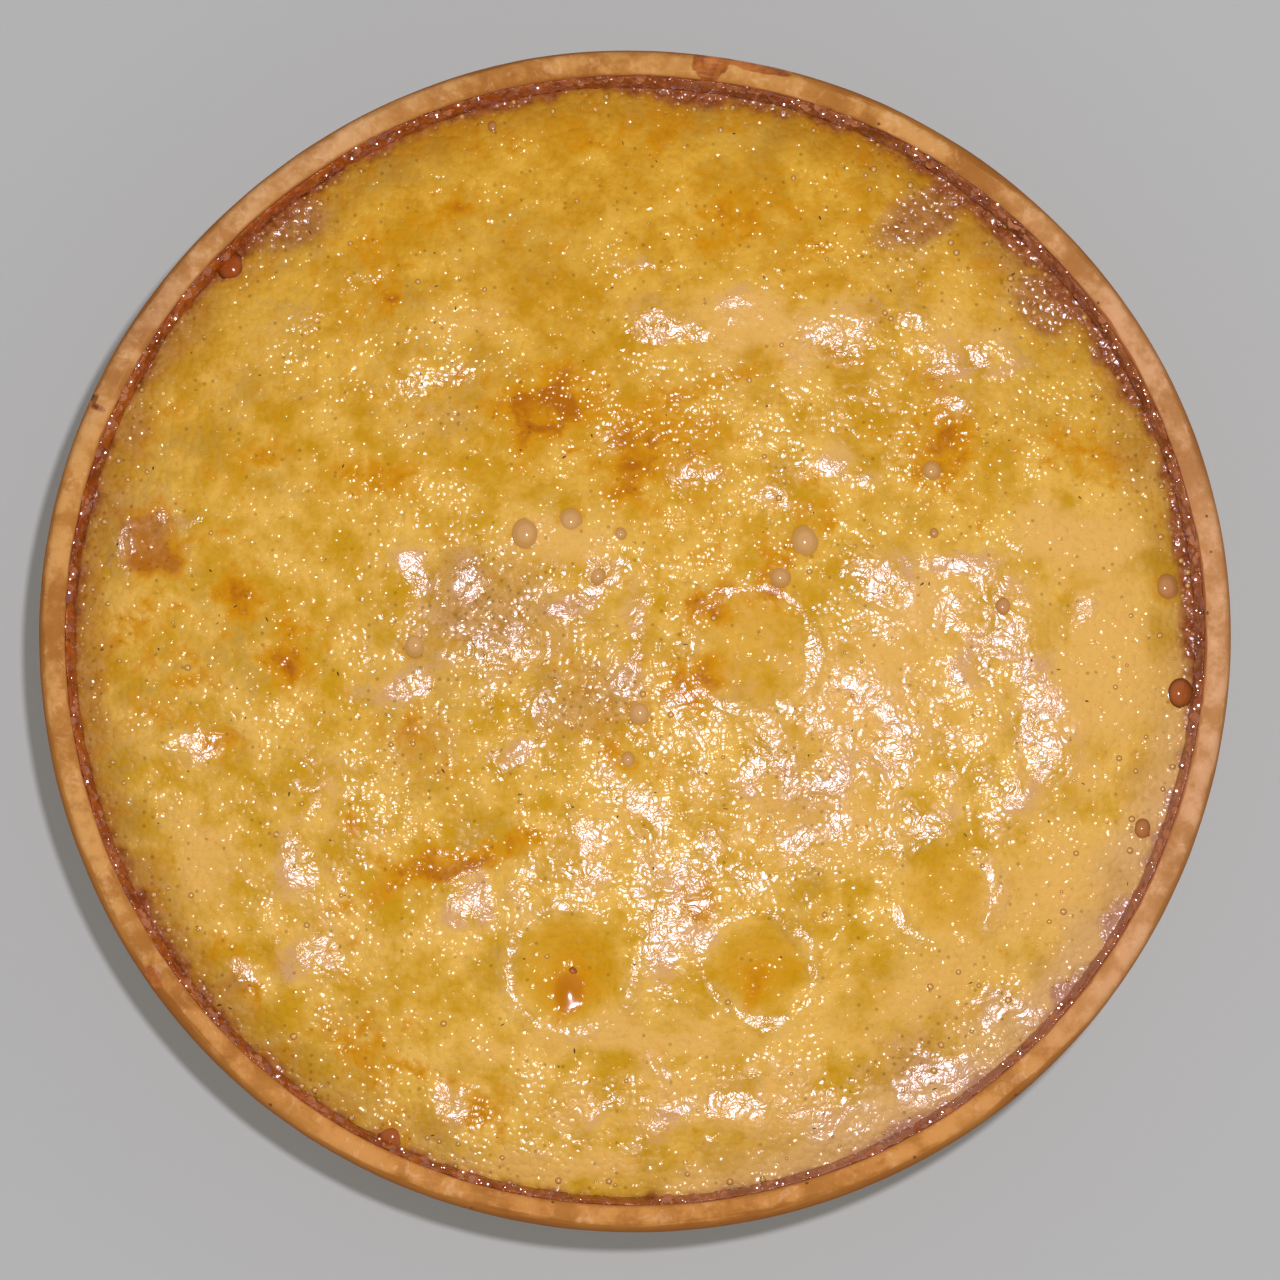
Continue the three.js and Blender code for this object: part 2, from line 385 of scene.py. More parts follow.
def paint_clay(tree):
    where = tree.place()
    east, north, height = tree.parts(where)
    lip, chip, burnt = tree.attribute("lip"), tree.attribute("chip"), tree.attribute("burnt")
    cloud = tree.noise(where, 22 * MM, 4.0, 0.6)
    blot = tree.noise(where, 5 * MM, 4.0, 0.65)
    grain = tree.noise(where, 1.1 * MM, 3.0, 0.6)
    # Streaks that the turning wheel drew out along the rim.
    turn = north.math("ARCTAN2", east)
    drawn = tree.vector(turn.math("COSINE") * 6.5, turn.math("SINE") * 6.5, lip * 9 + height / (3 * MM))
    streak = tree.noise(drawn, 1.0, 4.0, 0.65)
    right = tree.smooth(east + (cloud - 0.5) * 0.05, 0.045, 0.095)
    left_clay = tree.blend(tree.smooth(cloud, 0.35, 0.68), srgb(150, 90, 26), srgb(180, 119, 46))
    right_clay = tree.blend(tree.smooth(cloud, 0.35, 0.68), srgb(160, 102, 46), srgb(188, 130, 72))
    fired = tree.blend(right, left_clay, right_clay)
    fired = tree.blend(tree.smooth(streak, 0.5, 0.72) * 0.4, fired, srgb(200, 138, 66))
    # The pale band on top of the lip has ragged edges and worn gaps, and is widest on the right. It is
    # partly the clay's own pale bloom and partly a painted highlight where the lip's top faces the light.
    far_left = tree.smooth(north - east, 50 * MM, 120 * MM)
    across = lip + (streak - 0.5) * 0.3 + (cloud - 0.5) * 0.4 + (blot - 0.5) * 0.15
    across = across + right * 0.12 + far_left * 0.14
    band = tree.smooth(across, 0.34, 0.46) * tree.smooth(across, 1.15, 0.95)
    band = band * (0.35 + 0.65 * tree.smooth(blot, 0.38, 0.6))
    band = band * tree.smooth(height, LIP_BASE, LIP_BASE + 1 * MM)
    worn = tree.smooth(cloud + (blot - 0.5) * 0.8, 0.38, 0.66)
    tan = tree.blend(right, srgb(178, 117, 50), srgb(190, 134, 82))
    buff = tree.blend(right, srgb(206, 150, 82), srgb(212, 158, 112))
    beige = tree.blend(worn, srgb(184, 132, 86), srgb(206, 156, 104))
    pale = tree.blend(worn, tan, buff)
    pale = tree.blend(tree.smooth(north - east, 118 * MM, 136 * MM) * 0.85, pale, beige)
    pale = tree.blend(tree.smooth(north, -40 * MM, -90 * MM) * 0.6, pale, srgb(206, 138, 66))
    colour = tree.blend(band, fired, pale)
    fleck = tree.smooth(tree.noise(where, 2.4 * MM, 3.0, 0.6, 0.8), 0.56, 0.66)
    colour = tree.blend(fleck * band * 0.45, colour, srgb(224, 174, 122))
    # Painted shade: the lip's outer rounding, which turns away from the light, is painted darker.
    edge = tree.smooth(lip + (streak - 0.5) * 0.12, 0.42, 0.14)
    edge = edge * tree.smooth(height, LIP_BASE - 3 * MM, LIP_BASE)
    colour = tree.blend(edge * (0.8 - right * 0.35), colour, srgb(140, 82, 24))
    # Dark specks in the clay.
    cells = {"Vector": where, "Scale": 1 / (4.2 * MM)}
    cells = tree.node("ShaderNodeTexVoronoi", None, cells, out="Distance")
    chance = tree.node("ShaderNodeSeparateColor", None, {0: cells.also("Color")}, out=0)
    speck = tree.smooth(cells, 0.09, 0.05) * tree.smooth(chance, 0.55, 0.6)
    colour = tree.blend(speck * 0.8, colour, srgb(88, 48, 24))
    # Milk that boiled over has soaked into the large chip and run past it. The nick at the left is burnt.
    wet = tree.smooth(chip + (blot - 0.5) * 0.8, 0.2, 0.5)
    soaked = tree.blend(tree.smooth(blot, 0.35, 0.65), srgb(128, 60, 10), srgb(190, 112, 40))
    colour = tree.blend(wet, colour, soaked)
    colour = tree.blend(tree.smooth(burnt, 0.2, 0.6), colour, srgb(62, 26, 12))
    # The dried milk of the wall reaches over the lip's inner edge in a ragged line.
    milk = lip + (streak - 0.5) * 0.3 + (cloud - 0.5) * 0.3 + (blot - 0.5) * 0.2 + right * 0.06
    milk = tree.smooth(milk, 0.89, 0.95)
    colour = tree.blend(milk * 0.9, colour, tree.blend(blot, srgb(134, 64, 18), srgb(178, 108, 58)))
    sockets = {
        "Base Color": colour,
        "Roughness": 0.86 - wet * 0.5 - milk * 0.5,
        "Specular IOR Level": 0.3,
        "Normal": tree.bump(grain * 0.5 + streak * 0.6 + blot * 0.6, 0.3 * MM, 0.6),
    }
    return tree.surface(sockets)


def chip_lip(mesh):
    """Bites the chips out of the lip, and marks how deep and how burnt each place is."""
    points = points_of(mesh)
    x, y = points[:, 0], points[:, 1]
    ragged = ripples(x, y, CHIP_EDGE, 31)
    chipped = np.zeros(len(points))
    burnt = np.zeros(len(points))
    for degrees, out, length, width, depth, heat in CHIPS:
        angle = math.radians(degrees)
        along = y * math.cos(angle) - x * math.sin(angle)
        across = x * math.cos(angle) + y * math.sin(angle) - LIP_MIDDLE - out
        inside = 1 - (2 * along / length) ** 2 - (2 * across / width) ** 2 + CHIP_RAGGED * ragged
        bite = np.sqrt(np.clip(inside, 0, 1)) * (points[:, 2] > LIP_BASE)
        floor = DISH_HEIGHT - depth * bite
        chipped = np.maximum(chipped, bite)
        burnt = np.maximum(burnt, heat * bite)
        points[:, 2] = np.where(bite > 0, np.minimum(points[:, 2], floor), points[:, 2])
    put_points(mesh, points)
    put_values(mesh, "burnt", burnt)
    put_values(mesh, "chip", chipped)


dish = grow(
    "clay_dish",
    {
        "Sides": DISH_SIDES,
        "Foot radius": FOOT_RADIUS,
        "Rim radius": RIM_RADIUS,
        "Lip base": LIP_BASE,
        "Lip thickness": LIP_THICKNESS,
        "Hollow size": 14 * MM,
        "Hollow depth": 0.25 * MM,
        "Ring spacing": 4.2 * MM,
        "Ring depth": 0.22 * MM,
    },
    turn_dish,
    make_finish("unglazed_clay", paint_clay),
)
chip_lip(dish.data)
put_points(dish.data, hand_thrown(points_of(dish.data)))
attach(dish, "root")
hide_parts("earthenware_dish")

# The curd
# Sweetened milk, boiled down, soured and set in the dish over a low heat. Its cream rose into a golden skin
# that wrinkled and browned, and it tore here and there, so that the brown curd below shows. All sizes and
# places in this section are in millimetres, and headings in degrees.
CURD_LEVEL = 46.5
CREAM_SKIN = 0.55
EDGE_RISE = 0.15
EDGE_WIDTH = 4.0
CLIMB_AT = math.radians(-38)
CLIMB_HALF = math.radians(26)
CLIMB_RISE = 0.8
FLAT_EDGE = 12.0
FLAT_SHARE = 0.25
CURD_RINGS = 166
CURD_WALL_ROWS = 7
WALL_CLING = 0.12
WALL_STEPS = 400

# Slow folds: length and height of each wave, its heading and its phase.
FOLDS = [
    (33, 0.17, 35, 0.4),
    (24, 0.14, 118, 1.9),
    (17, 0.10, -20, 3.2),
    (13, 0.07, 75, 5.1),
]
FOLD_BEND_REACH = 6
FOLD_BEND_LENGTH = 130
FOLD_BEND_PHASE = (0.7, 2.1)

# Wrinkles between the folds: how they are bent, and the height and size of the large and the fine ones.
WRINKLE_BEND = [(3, 14)]
WRINKLES = [(0.44, 9), (0.2, 4.2)]
FINE_WRINKLES = [(0.06, 2.2)]
WRINKLE_SHARE = 0.42

# Dimples: x, y, radius and depth. Each has a low ring round it.
DIMPLES = [
    (-11, -57, 9.2, 1.4),
    (20.3, -56.5, 8.4, 1.3),
    (52, -43.8, 8, 1.1),
    (20.3, -3, 9.5, 0.8),
    (-81.6, 14.8, 6, 0.6),
    (54.2, 32.6, 6.5, 0.5),
    (-26.2, -77.5, 6.5, 0.5),
    (-5, 7.1, 8, 0.6),
    (-29.2, -35, 9.5, 0.6),
]
RING_RISE = 0.3
RING_AT = 1.15
RING_WIDTH = 0.3
# The first ones are clean, finger-wide hollows, each painted a deeper gold inside as shade, of its own
# strength.
# They are dry and smooth inside, with an uneven moist ring round them. All reaches are shares of the radius.
DIMPLE_SHADE = [0.8, 0.8, 0.45, 0.35]
CLEAN_DIMPLES = DIMPLES[:len(DIMPLE_SHADE)]
RING_BEND = [(1.3, 11), (0.6, 4)]
MOIST_RING_AT = 1.14
MOIST_RING_WIDTH = 0.2
DRY_REACH = 0.95
SMOOTH_REACH = 1.3
SMOOTH_SHARE = 0.85
# A bead of whey gleams in the first: x, y, the two half lengths and heading. The gleam hangs low on it.
BEAD = (-11.2, -59.7, 3.4, 4.6, 0.0)
BEAD_RISE = 0.8
GLEAM_DROP = 1.0

# Ridges where the skin puckered: both ends, then height and half width.
RIDGES = [
    (-41.3, -9.8, -30.2, -4.7, 0.35, 2.2),
    (-15.1, 2.3, -8.1, 6.4, 0.35, 2),
    (-21.1, -18.9, -11.1, -9.8, 0.3, 1.8),
    (-57.4, -40.1, -50.3, -21.9, 0.35, 2.5),
    (-29.2, -47.2, -14.1, -39.1, 0.4, 3),
    (0, -83.5, 19.1, -79.5, 0.35, 2.2),
    (38.3, 10.4, 52.4, 11.4, 0.35, 3),
    (52.4, 11.4, 62.4, -5.7, 0.4, 3.2),
    (62.4, -5.7, 73.5, -25.9, 0.4, 3.4),
    (24.2, -20.9, 33.2, -24.9, 0.3, 2.2),
    (46.3, -28, 53.4, -35, 0.3, 2),
    (56.4, 48.8, 62.4, 46.8, 0.35, 2.4),
    (24.2, 28.6, 35.2, 27.6, 0.3, 2.2),
    (43.3, -76.4, 48.3, -81.5, 0.3, 2.4),
    (1, -0.7, 2, -7.8, 0.3, 1.8),
]

# Tears in the skin: x, y, the two half lengths and the heading of the first.
TEARS = [
    (49.3, 71.5, 9.5, 5.2, 28),
    (-58.4, 70, 7.5, 4.2, 31),
    (70, 55.9, 6.5, 5, -50),
]
# The bare ring along the wall: its least width, then where it widens, by how much and over what half angle.
BARE_RING = 0.3
RING_SWELLS = [
    (45, 2.6, 16),
    (6, 2.5, 12),
    (29, 1.6, 7),
    (82, 2.2, 9),
    (131, 1.8, 9),
    (-145, 1.1, 14),
    (106, 1.5, 9),
    (-31, 2.6, 2.5),
    (-40.5, 2.4, 2.5),
    (178, 0.6, 16),
    (-60, 1, 6),
]
# The edges of both are ragged, and froth stands in them.
RAGGED = [(1.1, 5), (0.7, 2.2), (0.4, 1.1)]
RING_EDGE = (-0.8, 1.6)
TEAR_EDGE = (0.55, 1.15)
TEAR_RAGGED = 0.14
FROTH_HEIGHT = 0.2
# The tears have this share of the ring's depth.
TORN_SHARE = 0.6

# Caramel stains: x, y, the two half lengths, heading and strength.
STAINS = [
    (-15.5, 38.5, 12.5, 7, 12, 1.1),
    (0.5, 28.5, 7.5, 8.5, -20, 0.85),
    (9, 42.5, 11, 3, 20, 0.65),
    (9, 34, 14, 9, -30, 0.58),
    (29, 18.5, 4.5, 7, 10, 0.7),
    (24, 11, 6, 6, 0, 0.65),
    (-66, 4.5, 4.5, 7.5, 25, 0.8),
    (-59, -5, 6.5, 8, 25, 0.8),
    (-42, 58.5, 3, 4.5, -10, 0.75),
    (-30.5, 70.5, 4, 3, -35, 0.7),
    (-14, 68, 3, 3, 0, 0.5),
    (-33, -39.5, 13, 3.6, 12, 0.9),
    (-48, -31, 3.5, 2.6, 40, 0.75),
    (-18, -35, 5.5, 3.2, 10, 0.55),
    (12, -44.5, 3.5, 4.5, 20, 0.6),
    (-10.5, -60, 4, 6, 0, 0.62),
    (19.5, -57.5, 6, 3.5, 0, 0.6),
    (53.5, 32.5, 8, 8, 0, 0.85),
    (-81, 15, 5.5, 6, 0, 1.4),
    (9, -8, 5.5, 7, 40, 0.78),
    (12, 4.5, 5, 5, 40, 0.9),
    (-25.5, -78.5, 4, 7, 0, 0.45),
    (-45, 27.5, 18, 4, 4, 0.6),
    (-64, 30, 8, 4, 0, 0.5),
    (15, 73, 26, 10, -8, 0.36),
    (42, 74, 10, 8, -40, 0.45),
    (-8, 87, 26, 5, 0, 0.52),
    (-42, 68, 16, 10, 30, 0.36),
    (75, 30, 13, 5, -15, 0.45),
    (-8, -13, 10, 8, 0, 0.35),
    (-36, -20, 8, 6, 0, 0.45),
    (-80, -5, 12, 16, 0, 0.4),
    (-46, -71, 14, 9, -35, 0.34),
    (-68, -58, 10, 5, -45, 0.6),
    (-25, 40, 9, 5, 20, 0.35),
    (62, 62, 12, 8, -45, 0.4),
    (-5, 7, 6, 4, 0, 0.3),
]
# Pale, buttery places, given in the same way.
PALES = [
    (79, -6, 15, 24, 0, 1),
    (77, 15, 14, 8, 0, 0.9),
    (69, -42, 14, 16, -30, 0.85),
    (47, -62, 22, 10, 25, 0.75),
    (40, -12, 18, 14, 0, 0.9),
    (28, -31, 22, 11, 0, 0.8),
    (50, 3, 13, 10, 0, 0.8),
    (14, -79, 34, 7, 0, 0.7),
    (0, -69, 26, 5, 0, 0.95),
    (25, 51, 16, 8, -10, 1.1),
    (-25, 55, 13, 6, 10, 0.5),
    (-11, 16, 13, 6, 15, 0.65),
    (-52, -50, 16, 10, -35, 0.5),
    (-72, -38, 9, 14, 25, 0.7),
    (-12, -90, 30, 4.5, 0, 0.85),
    (40, -81, 24, 5, 24, 0.9),
    (71, -59, 20, 4.5, 50, 0.9),
    (87, -30, 18, 4.5, 70, 0.9),
    (-70, 40, 9, 14, -25, 0.35),
    (21, 2, 9, 7, 0, 0.65),
    (-6, -34, 12, 4, 10, 0.55),
    (56, 49, 10, 8, 0, 0.45),
    (-81, 16, 9, 9, 0, 0.4),
    (0, 3, 6, 7, 0, 0.2),
    (-44, -8, 10, 7, 30, 0.45),
    (-88, 3, 4, 18, 0, 0.35),
]
# Places where the cream is thin and the brown curd shines through it, given in the same way.
THINS = [
    (-25, 3, 15, 11, 10, 0.95),
    (-8, -12, 13, 9, 30, 0.65),
    (-36, -20, 9, 7, 0, 0.4),
    (-33, 35, 9, 5, 0, 0.45),
    (28, -28, 10, 7, -30, 0.45),
    (45, -70, 13, 6, 25, 0.75),
    (66, 62, 14, 9, -45, 0.6),
    (48, 69, 13, 9, 28, 0.5),
    (-58, 69, 13, 7, 31, 0.55),
    (86, 30, 6, 12, 15, 0.55),
    (-81, 15.5, 8, 8, 0, 0.5),
]
# These and the moist places are pulled out of shape as smears are.
SMEAR = [(3.5, 13), (1.8, 5)]

# Moist places, where the skin is glossy and draws up into small wrinkles, given in the same way. The strong
# ones are tilted towards one middle point, and tilted more the farther away they are.
MOIST = [
    (3.4, 62.3, 4.5, 2.2, 0, 0.8),
    (5.1, 52.1, 8, 3, -15, 0.6),
    (17.8, 56.4, 4, 2, 0, 0.5),
    (35.5, 51.3, 7, 5, 0, 0.75),
    (59.2, 47.9, 5.5, 3.5, -10, 1),
    (52.5, 46.2, 4, 3, 0, 0.7),
    (53.3, 37.7, 6, 3, 10, 0.7),
    (30.5, 28.9, 6.5, 3.5, 0, 0.9),
    (46.5, 53, 5, 3, 0, 0.5),
    (-87, 15, 2.5, 4, 0, 0.7),
    (-79, 19.5, 4, 2, 0, 0.5),
    (-56.7, 53, 6, 3, 0, 0.4),
    (-35.5, 44, 9, 4, 0, 0.45),
    (-37.3, 10.5, 3, 6, 0, 0.9),
    (-38.1, -9, 7, 3, 25, 1),
    (-11, 5.4, 7, 2.5, 35, 1),
    (-5.9, 12.2, 4, 2, 0, 0.6),
    (0, -1.4, 2.5, 8, 0, 0.9),
    (-27.9, 8.8, 5, 4, 0, 0.7),
    (-24.6, -2, 9, 6, 0, 0.45),
    (-21.4, -18.5, 5, 2, 40, 0.9),
    (-16, -11.6, 4, 2, 40, 0.8),
    (-56.7, -38.7, 3, 6, 10, 0.9),
    (-53.3, -54, 4.5, 4, 0, 0.9),
    (-65, -56, 6, 3, -20, 0.5),
    (-74.5, -19.2, 9, 3, 0, 0.55),
    (-54.5, -26, 5, 6, 0, 0.6),
    (-27.9, -44.7, 5, 4, 30, 1),
    (-19.5, -40.4, 4, 2, 0, 0.7),
    (-5.9, -37, 10, 5, 0, 0.5),
    (7.6, -49.8, 4.5, 9, 0, 1),
    (7.6, -14, 6, 5, 0, 0.62),
    (21, -24.3, 9, 5, 0, 0.62),
    (33, -24.3, 7, 5, 0, 0.62),
    (28, -33.6, 8, 4, 0, 0.6),
    (42.3, 8.8, 6, 5, 0, 0.75),
    (53.3, 11.4, 8, 3, 0, 0.85),
    (62.6, -1.4, 7, 9, 0, 1),
    (68.6, -15, 6, 10, 0, 0.75),
    (55, 2, 5, 4, 0, 0.7),
    (36, -9.9, 8, 6, 0, 0.6),
    (28, -11.6, 5, 5, 0, 0.6),
    (49, -31, 5, 4, 0, 0.85),
    (61.8, -26.8, 6, 6, 0, 0.65),
    (62, -64, 6, 4, 40, 0.7),
    (48.2, -76, 9, 4, 25, 0.85),
    (36.4, -82, 7, 3, 20, 0.7),
    (18.1, -79.7, 4, 4.5, 0, 1),
    (10.5, -80, 5, 3, 20, 0.85),
    (3.7, -83, 4, 3, 0, 0.85),
    (-0.5, -86.5, 3, 3, 0, 0.8),
    (-5.6, -79.7, 4, 2.5, 20, 0.6),
    (5.4, -72.9, 4, 3, -30, 0.7),
    (10.5, -88.5, 2.5, 1.5, 0, 0.7),
    (-15.7, -85.6, 3, 2, 0, 0.5),
    (-33, -78.6, 3, 5, 0, 0.7),
    (-26.2, -86.3, 4, 2.5, 0, 0.7),
    (75.3, 5.4, 4, 3, 0, 0.5),
    (24.5, 22.4, 4, 5, 0, 0.6),
    (11, 27, 4, 5, 0, 0.5),
    (38, 26, 4, 3, 0, 0.5),
    (-7, 35, 3, 5, 0, 0.4),
    (-46, 61, 5, 2, 20, 0.45),
    (15, -40, 8, 5, 0, 0.5),
    (0, -29, 8, 5, 0, 0.45),
    (45, -20, 6, 6, 0, 0.7),
    (32, -15, 36, 24, -10, 0.42),
    (-22, 0, 26, 20, 0, 0.38),
    (0, -40, 36, 12, 0, 0.42),
    (15, -80, 46, 8, 0, 0.42),
    (-54, -36, 14, 26, 10, 0.36),
    (30, 42, 40, 16, 0, 0.3),
    (-40, 45, 30, 12, 0, 0.22),
    (-72, -20, 14, 12, 0, 0.3),
]
LEAN_TO = (13.9, -21.8)
LEAN_REACH = 431.0
LEAST_LEAN = 0.42
LEAN_BEND = [(1.5, 8)]
CALM_SHARE = 0.7

# Blisters that steam raised: x, y, radius and how brown each is.
BLISTERS = [
    (-18.6, 16.8, 2.3, 0),
    (-11, 19, 2.1, 0),
    (28.8, 15.5, 2.3, 0),
    (24.6, 9.3, 1.8, 0.1),
    (0.8, -13.7, 1.9, 0),
    (-1.2, -21.7, 1.4, 0.1),
    (-37.3, -2.2, 2.1, 0),
    (50.4, 27.5, 1.5, 0.1),
    (-6.4, 9.7, 1.4, 0.1),
    (62.3, 4.3, 1.4, 0.3),
    (90, 7.6, 2.1, 0.4),
    (85.5, -33.3, 1.7, 0.6),
    (92.1, -10.4, 2.4, 0.9),
    (-69.4, 63, 2.6, 1),
    (-40.7, -84.9, 2.6, 0.9),
    (-2.5, 16.7, 1.1, 0.1),
    (50.7, 16.8, 0.9, 0.3),
    (-24.6, 87.5, 0.9, 0.5),
    (-10.5, -57.3, 0.7, 0.9),
]


def smoothstep(value, low, high):
    share = np.clip((value - low) / (high - low), 0, 1)
    return share * share * (3 - 2 * share)


def bend(x, y, layers, seed):
    """Points that seeded ripples have pulled out of place."""
    return x + ripples(x, y, layers, seed), y + ripples(x, y, layers, seed + len(layers))


def away_from(x, y, centre_x, centre_y, long, short, heading):
    """How far a point is from an oval's middle: 1 on the oval itself."""
    turn = math.radians(heading)
    along = (x - centre_x) * math.cos(turn) + (y - centre_y) * math.sin(turn)
    across = (y - centre_y) * math.cos(turn) - (x - centre_x) * math.sin(turn)
    return np.hypot(along / long, across / short)


def patches(x, y, places, seed, fall=1.2):
    """The strongest of some soft oval patches at each point."""
    bent = bend(x, y, SMEAR, seed)
    shares = [share * np.exp(-fall * away_from(*bent, *place) ** 2) for *place, share in places]
    return np.max(shares, axis=0)


def fold_height(x, y):
    turn = math.tau / FOLD_BEND_LENGTH
    bent_x = x + FOLD_BEND_REACH * np.sin(turn * y + FOLD_BEND_PHASE[0])
    bent_y = y + FOLD_BEND_REACH * np.sin(turn * x + FOLD_BEND_PHASE[1])
    total = 0
    for length, height, degrees, phase in FOLDS:
        heading = math.radians(degrees)
        along = bent_x * math.cos(heading) + bent_y * math.sin(heading)
        total = total + height * np.sin(math.tau * along / length + phase)
    return total


def dimple_height(x, y):
    total = 0
    for centre_x, centre_y, radius, depth in DIMPLES:
        away = np.hypot(x - centre_x, y - centre_y) / radius
        hollow = (1 + np.cos(math.pi * np.minimum(away, 1))) / 2
        ring = RING_RISE * np.exp(-(((away - RING_AT) / RING_WIDTH) ** 2))
        total = total + depth * (ring - hollow)
    return total


def ridge_height(x, y):
    total = 0
    for start_x, start_y, end_x, end_y, height, half in RIDGES:
        run = np.array([end_x - start_x, end_y - start_y])
        share = ((x - start_x) * run[0] + (y - start_y) * run[1]) / (run @ run)
        share = np.clip(share, 0, 1)
        away = np.hypot(x - start_x - share * run[0], y - start_y - share * run[1])
        total = np.maximum(total, height * np.exp(-((away / half) ** 2)))
    return total


def bare_shares(x, y, reach):
    """How bare the curd is, in the ring along the wall and in the tears."""
    ragged = ripples(x, y, RAGGED, 11)
    angle = np.arctan2(y, x)
    ring = BARE_RING
    for middle, swell, half in RING_SWELLS:
        ring = ring + swell * np.exp(-(((angle - math.radians(middle)) / math.radians(half)) ** 2))
    ring = 1 - smoothstep(reach + ragged, ring + RING_EDGE[0], ring + RING_EDGE[1])
    torn = 0
    for tear in TEARS:
        away = away_from(x, y, *tear) + TEAR_RAGGED * ragged
        torn = np.maximum(torn, 1 - smoothstep(away, *TEAR_EDGE))
    return ring, torn


def from_dimple(x, y, centre_x, centre_y, radius):
    """How far a point is from a dimple's middle, on an uneven ring: 1 on its edge."""
    bent_x, bent_y = bend(x, y, RING_BEND, 76)
    return np.hypot(bent_x - centre_x, bent_y - centre_y) / radius


def cluster_shares(x, y):
    """How moist the skin is, in clusters a few millimetres wide."""
    broken = 0.95 + 0.75 * ripple(x, y, 6.5, 74) + 0.4 * ripple(x, y, 3, 80)
    return np.minimum(1, patches(x, y, MOIST, 71, fall=0.7) * np.clip(broken, 0.2, 1.3))


def moist_shares(x, y):
    """The same, with broken rings round the clean dimples."""
    moist = cluster_shares(x, y)
    for centre_x, centre_y, radius, depth in CLEAN_DIMPLES:
        away = from_dimple(x, y, centre_x, centre_y, radius)
        moist = moist * (1 - np.exp(-((away / DRY_REACH) ** 6)))
        ring = np.exp(-(((away - MOIST_RING_AT) / MOIST_RING_WIDTH) ** 2))
        moist = np.maximum(moist, ring * (0.55 + 0.8 * ripple(x, y, 8, 75)))
    return moist


def bead_shares(x, y):
    """1 in the middle of the bead, and 0 from its edge on."""
    return np.clip(1 - away_from(x, y, *BEAD) ** 2, 0, 1)


def skin_relief(x, y):
    """Folds, wrinkles and puckers of the skin, fading out at the wall."""
    inside = smoothstep(LIP_INNER / MM - np.hypot(x, y), 0, FLAT_EDGE)
    wrinkle = ripples(*bend(x, y, WRINKLE_BEND, 1), WRINKLES, 3) + ripples(x, y, FINE_WRINKLES, 5)
    # The clean dimples are smooth, and the moist places lean to one point.
    amount = WRINKLE_SHARE
    for centre_x, centre_y, radius, depth in CLEAN_DIMPLES:
        away = np.hypot(x - centre_x, y - centre_y) / radius
        amount = amount * (1 - SMOOTH_SHARE * np.exp(-((away / SMOOTH_REACH) ** 4)))
    bent = bend(x, y, LEAN_BEND, 72)
    lean, weight = 0, 0
    for *place, share in MOIST:
        if share > LEAST_LEAN:
            centre_x, centre_y = place[:2]
            pull = np.exp(-(away_from(*bent, *place) ** 4))
            rise = (centre_x - LEAN_TO[0]) * (x - centre_x) + (centre_y - LEAN_TO[1]) * (y - centre_y)
            lean = lean + pull * rise / LEAN_REACH
            weight = weight + pull
    lean = lean / np.maximum(weight, 1)
    calm = 1 - CALM_SHARE * np.minimum(weight, 1)
    slow = fold_height(x, y) + wrinkle * amount
    fade = FLAT_SHARE + (1 - FLAT_SHARE) * inside
    return (slow * calm + lean) * fade + ridge_height(x, y) * calm


def curd_height(x, y):
    reach = LIP_INNER / MM - np.hypot(x, y)
    # At the near right the curd climbs up the wall in lumps.
    climb = np.exp(-(((np.arctan2(y, x) - CLIMB_AT) / CLIMB_HALF) ** 2))
    climb = climb * (0.6 + 0.8 * ripple(x, y, 9, 9))
    rise = (EDGE_RISE + CLIMB_RISE * climb) * (1 - smoothstep(reach, 0, EDGE_WIDTH))
    ring, torn = bare_shares(x, y, reach)
    bare = np.maximum(ring, TORN_SHARE * torn)
    froth = FROTH_HEIGHT * np.abs(ripple(x, y, 1.5, 6)) * bare
    height = CURD_LEVEL + skin_relief(x, y) + dimple_height(x, y) + rise + froth
    height = height + BEAD_RISE * bead_shares(x, y) ** 2
    return height - CREAM_SKIN * bare


def round_sheet(rings):
    """A flat disc of even triangles, of radius 1: its points, triangles and outermost ring."""
    points = [np.zeros((1, 2))]
    faces = []
    for ring in range(1, rings + 1):
        turn = np.arange(6 * ring) * math.tau / (6 * ring)
        points.append(ring / rings * np.stack([np.cos(turn), np.sin(turn)], axis=1))
        first, inner = 1 + 3 * ring * (ring - 1), 1 + 3 * (ring - 1) * (ring - 2)
        sector, step = np.divmod(np.arange(6 * ring), ring)
        outer = first + np.arange(6 * ring)
        following = first + (np.arange(6 * ring) + 1) % (6 * ring)
        if ring == 1:
            faces.append(np.stack([outer, following, np.zeros(6, int)], axis=1))
            continue
        count = 6 * (ring - 1)
        below = inner + (sector * (ring - 1) + step) % count
        faces.append(np.stack([outer, following, below], axis=1))
        inside = step < ring - 1
        beside = inner + (sector * (ring - 1) + step + 1) % count
        faces.append(np.stack([below, following, beside], axis=1)[inside])
    return np.concatenate(points), np.concatenate(faces), outer


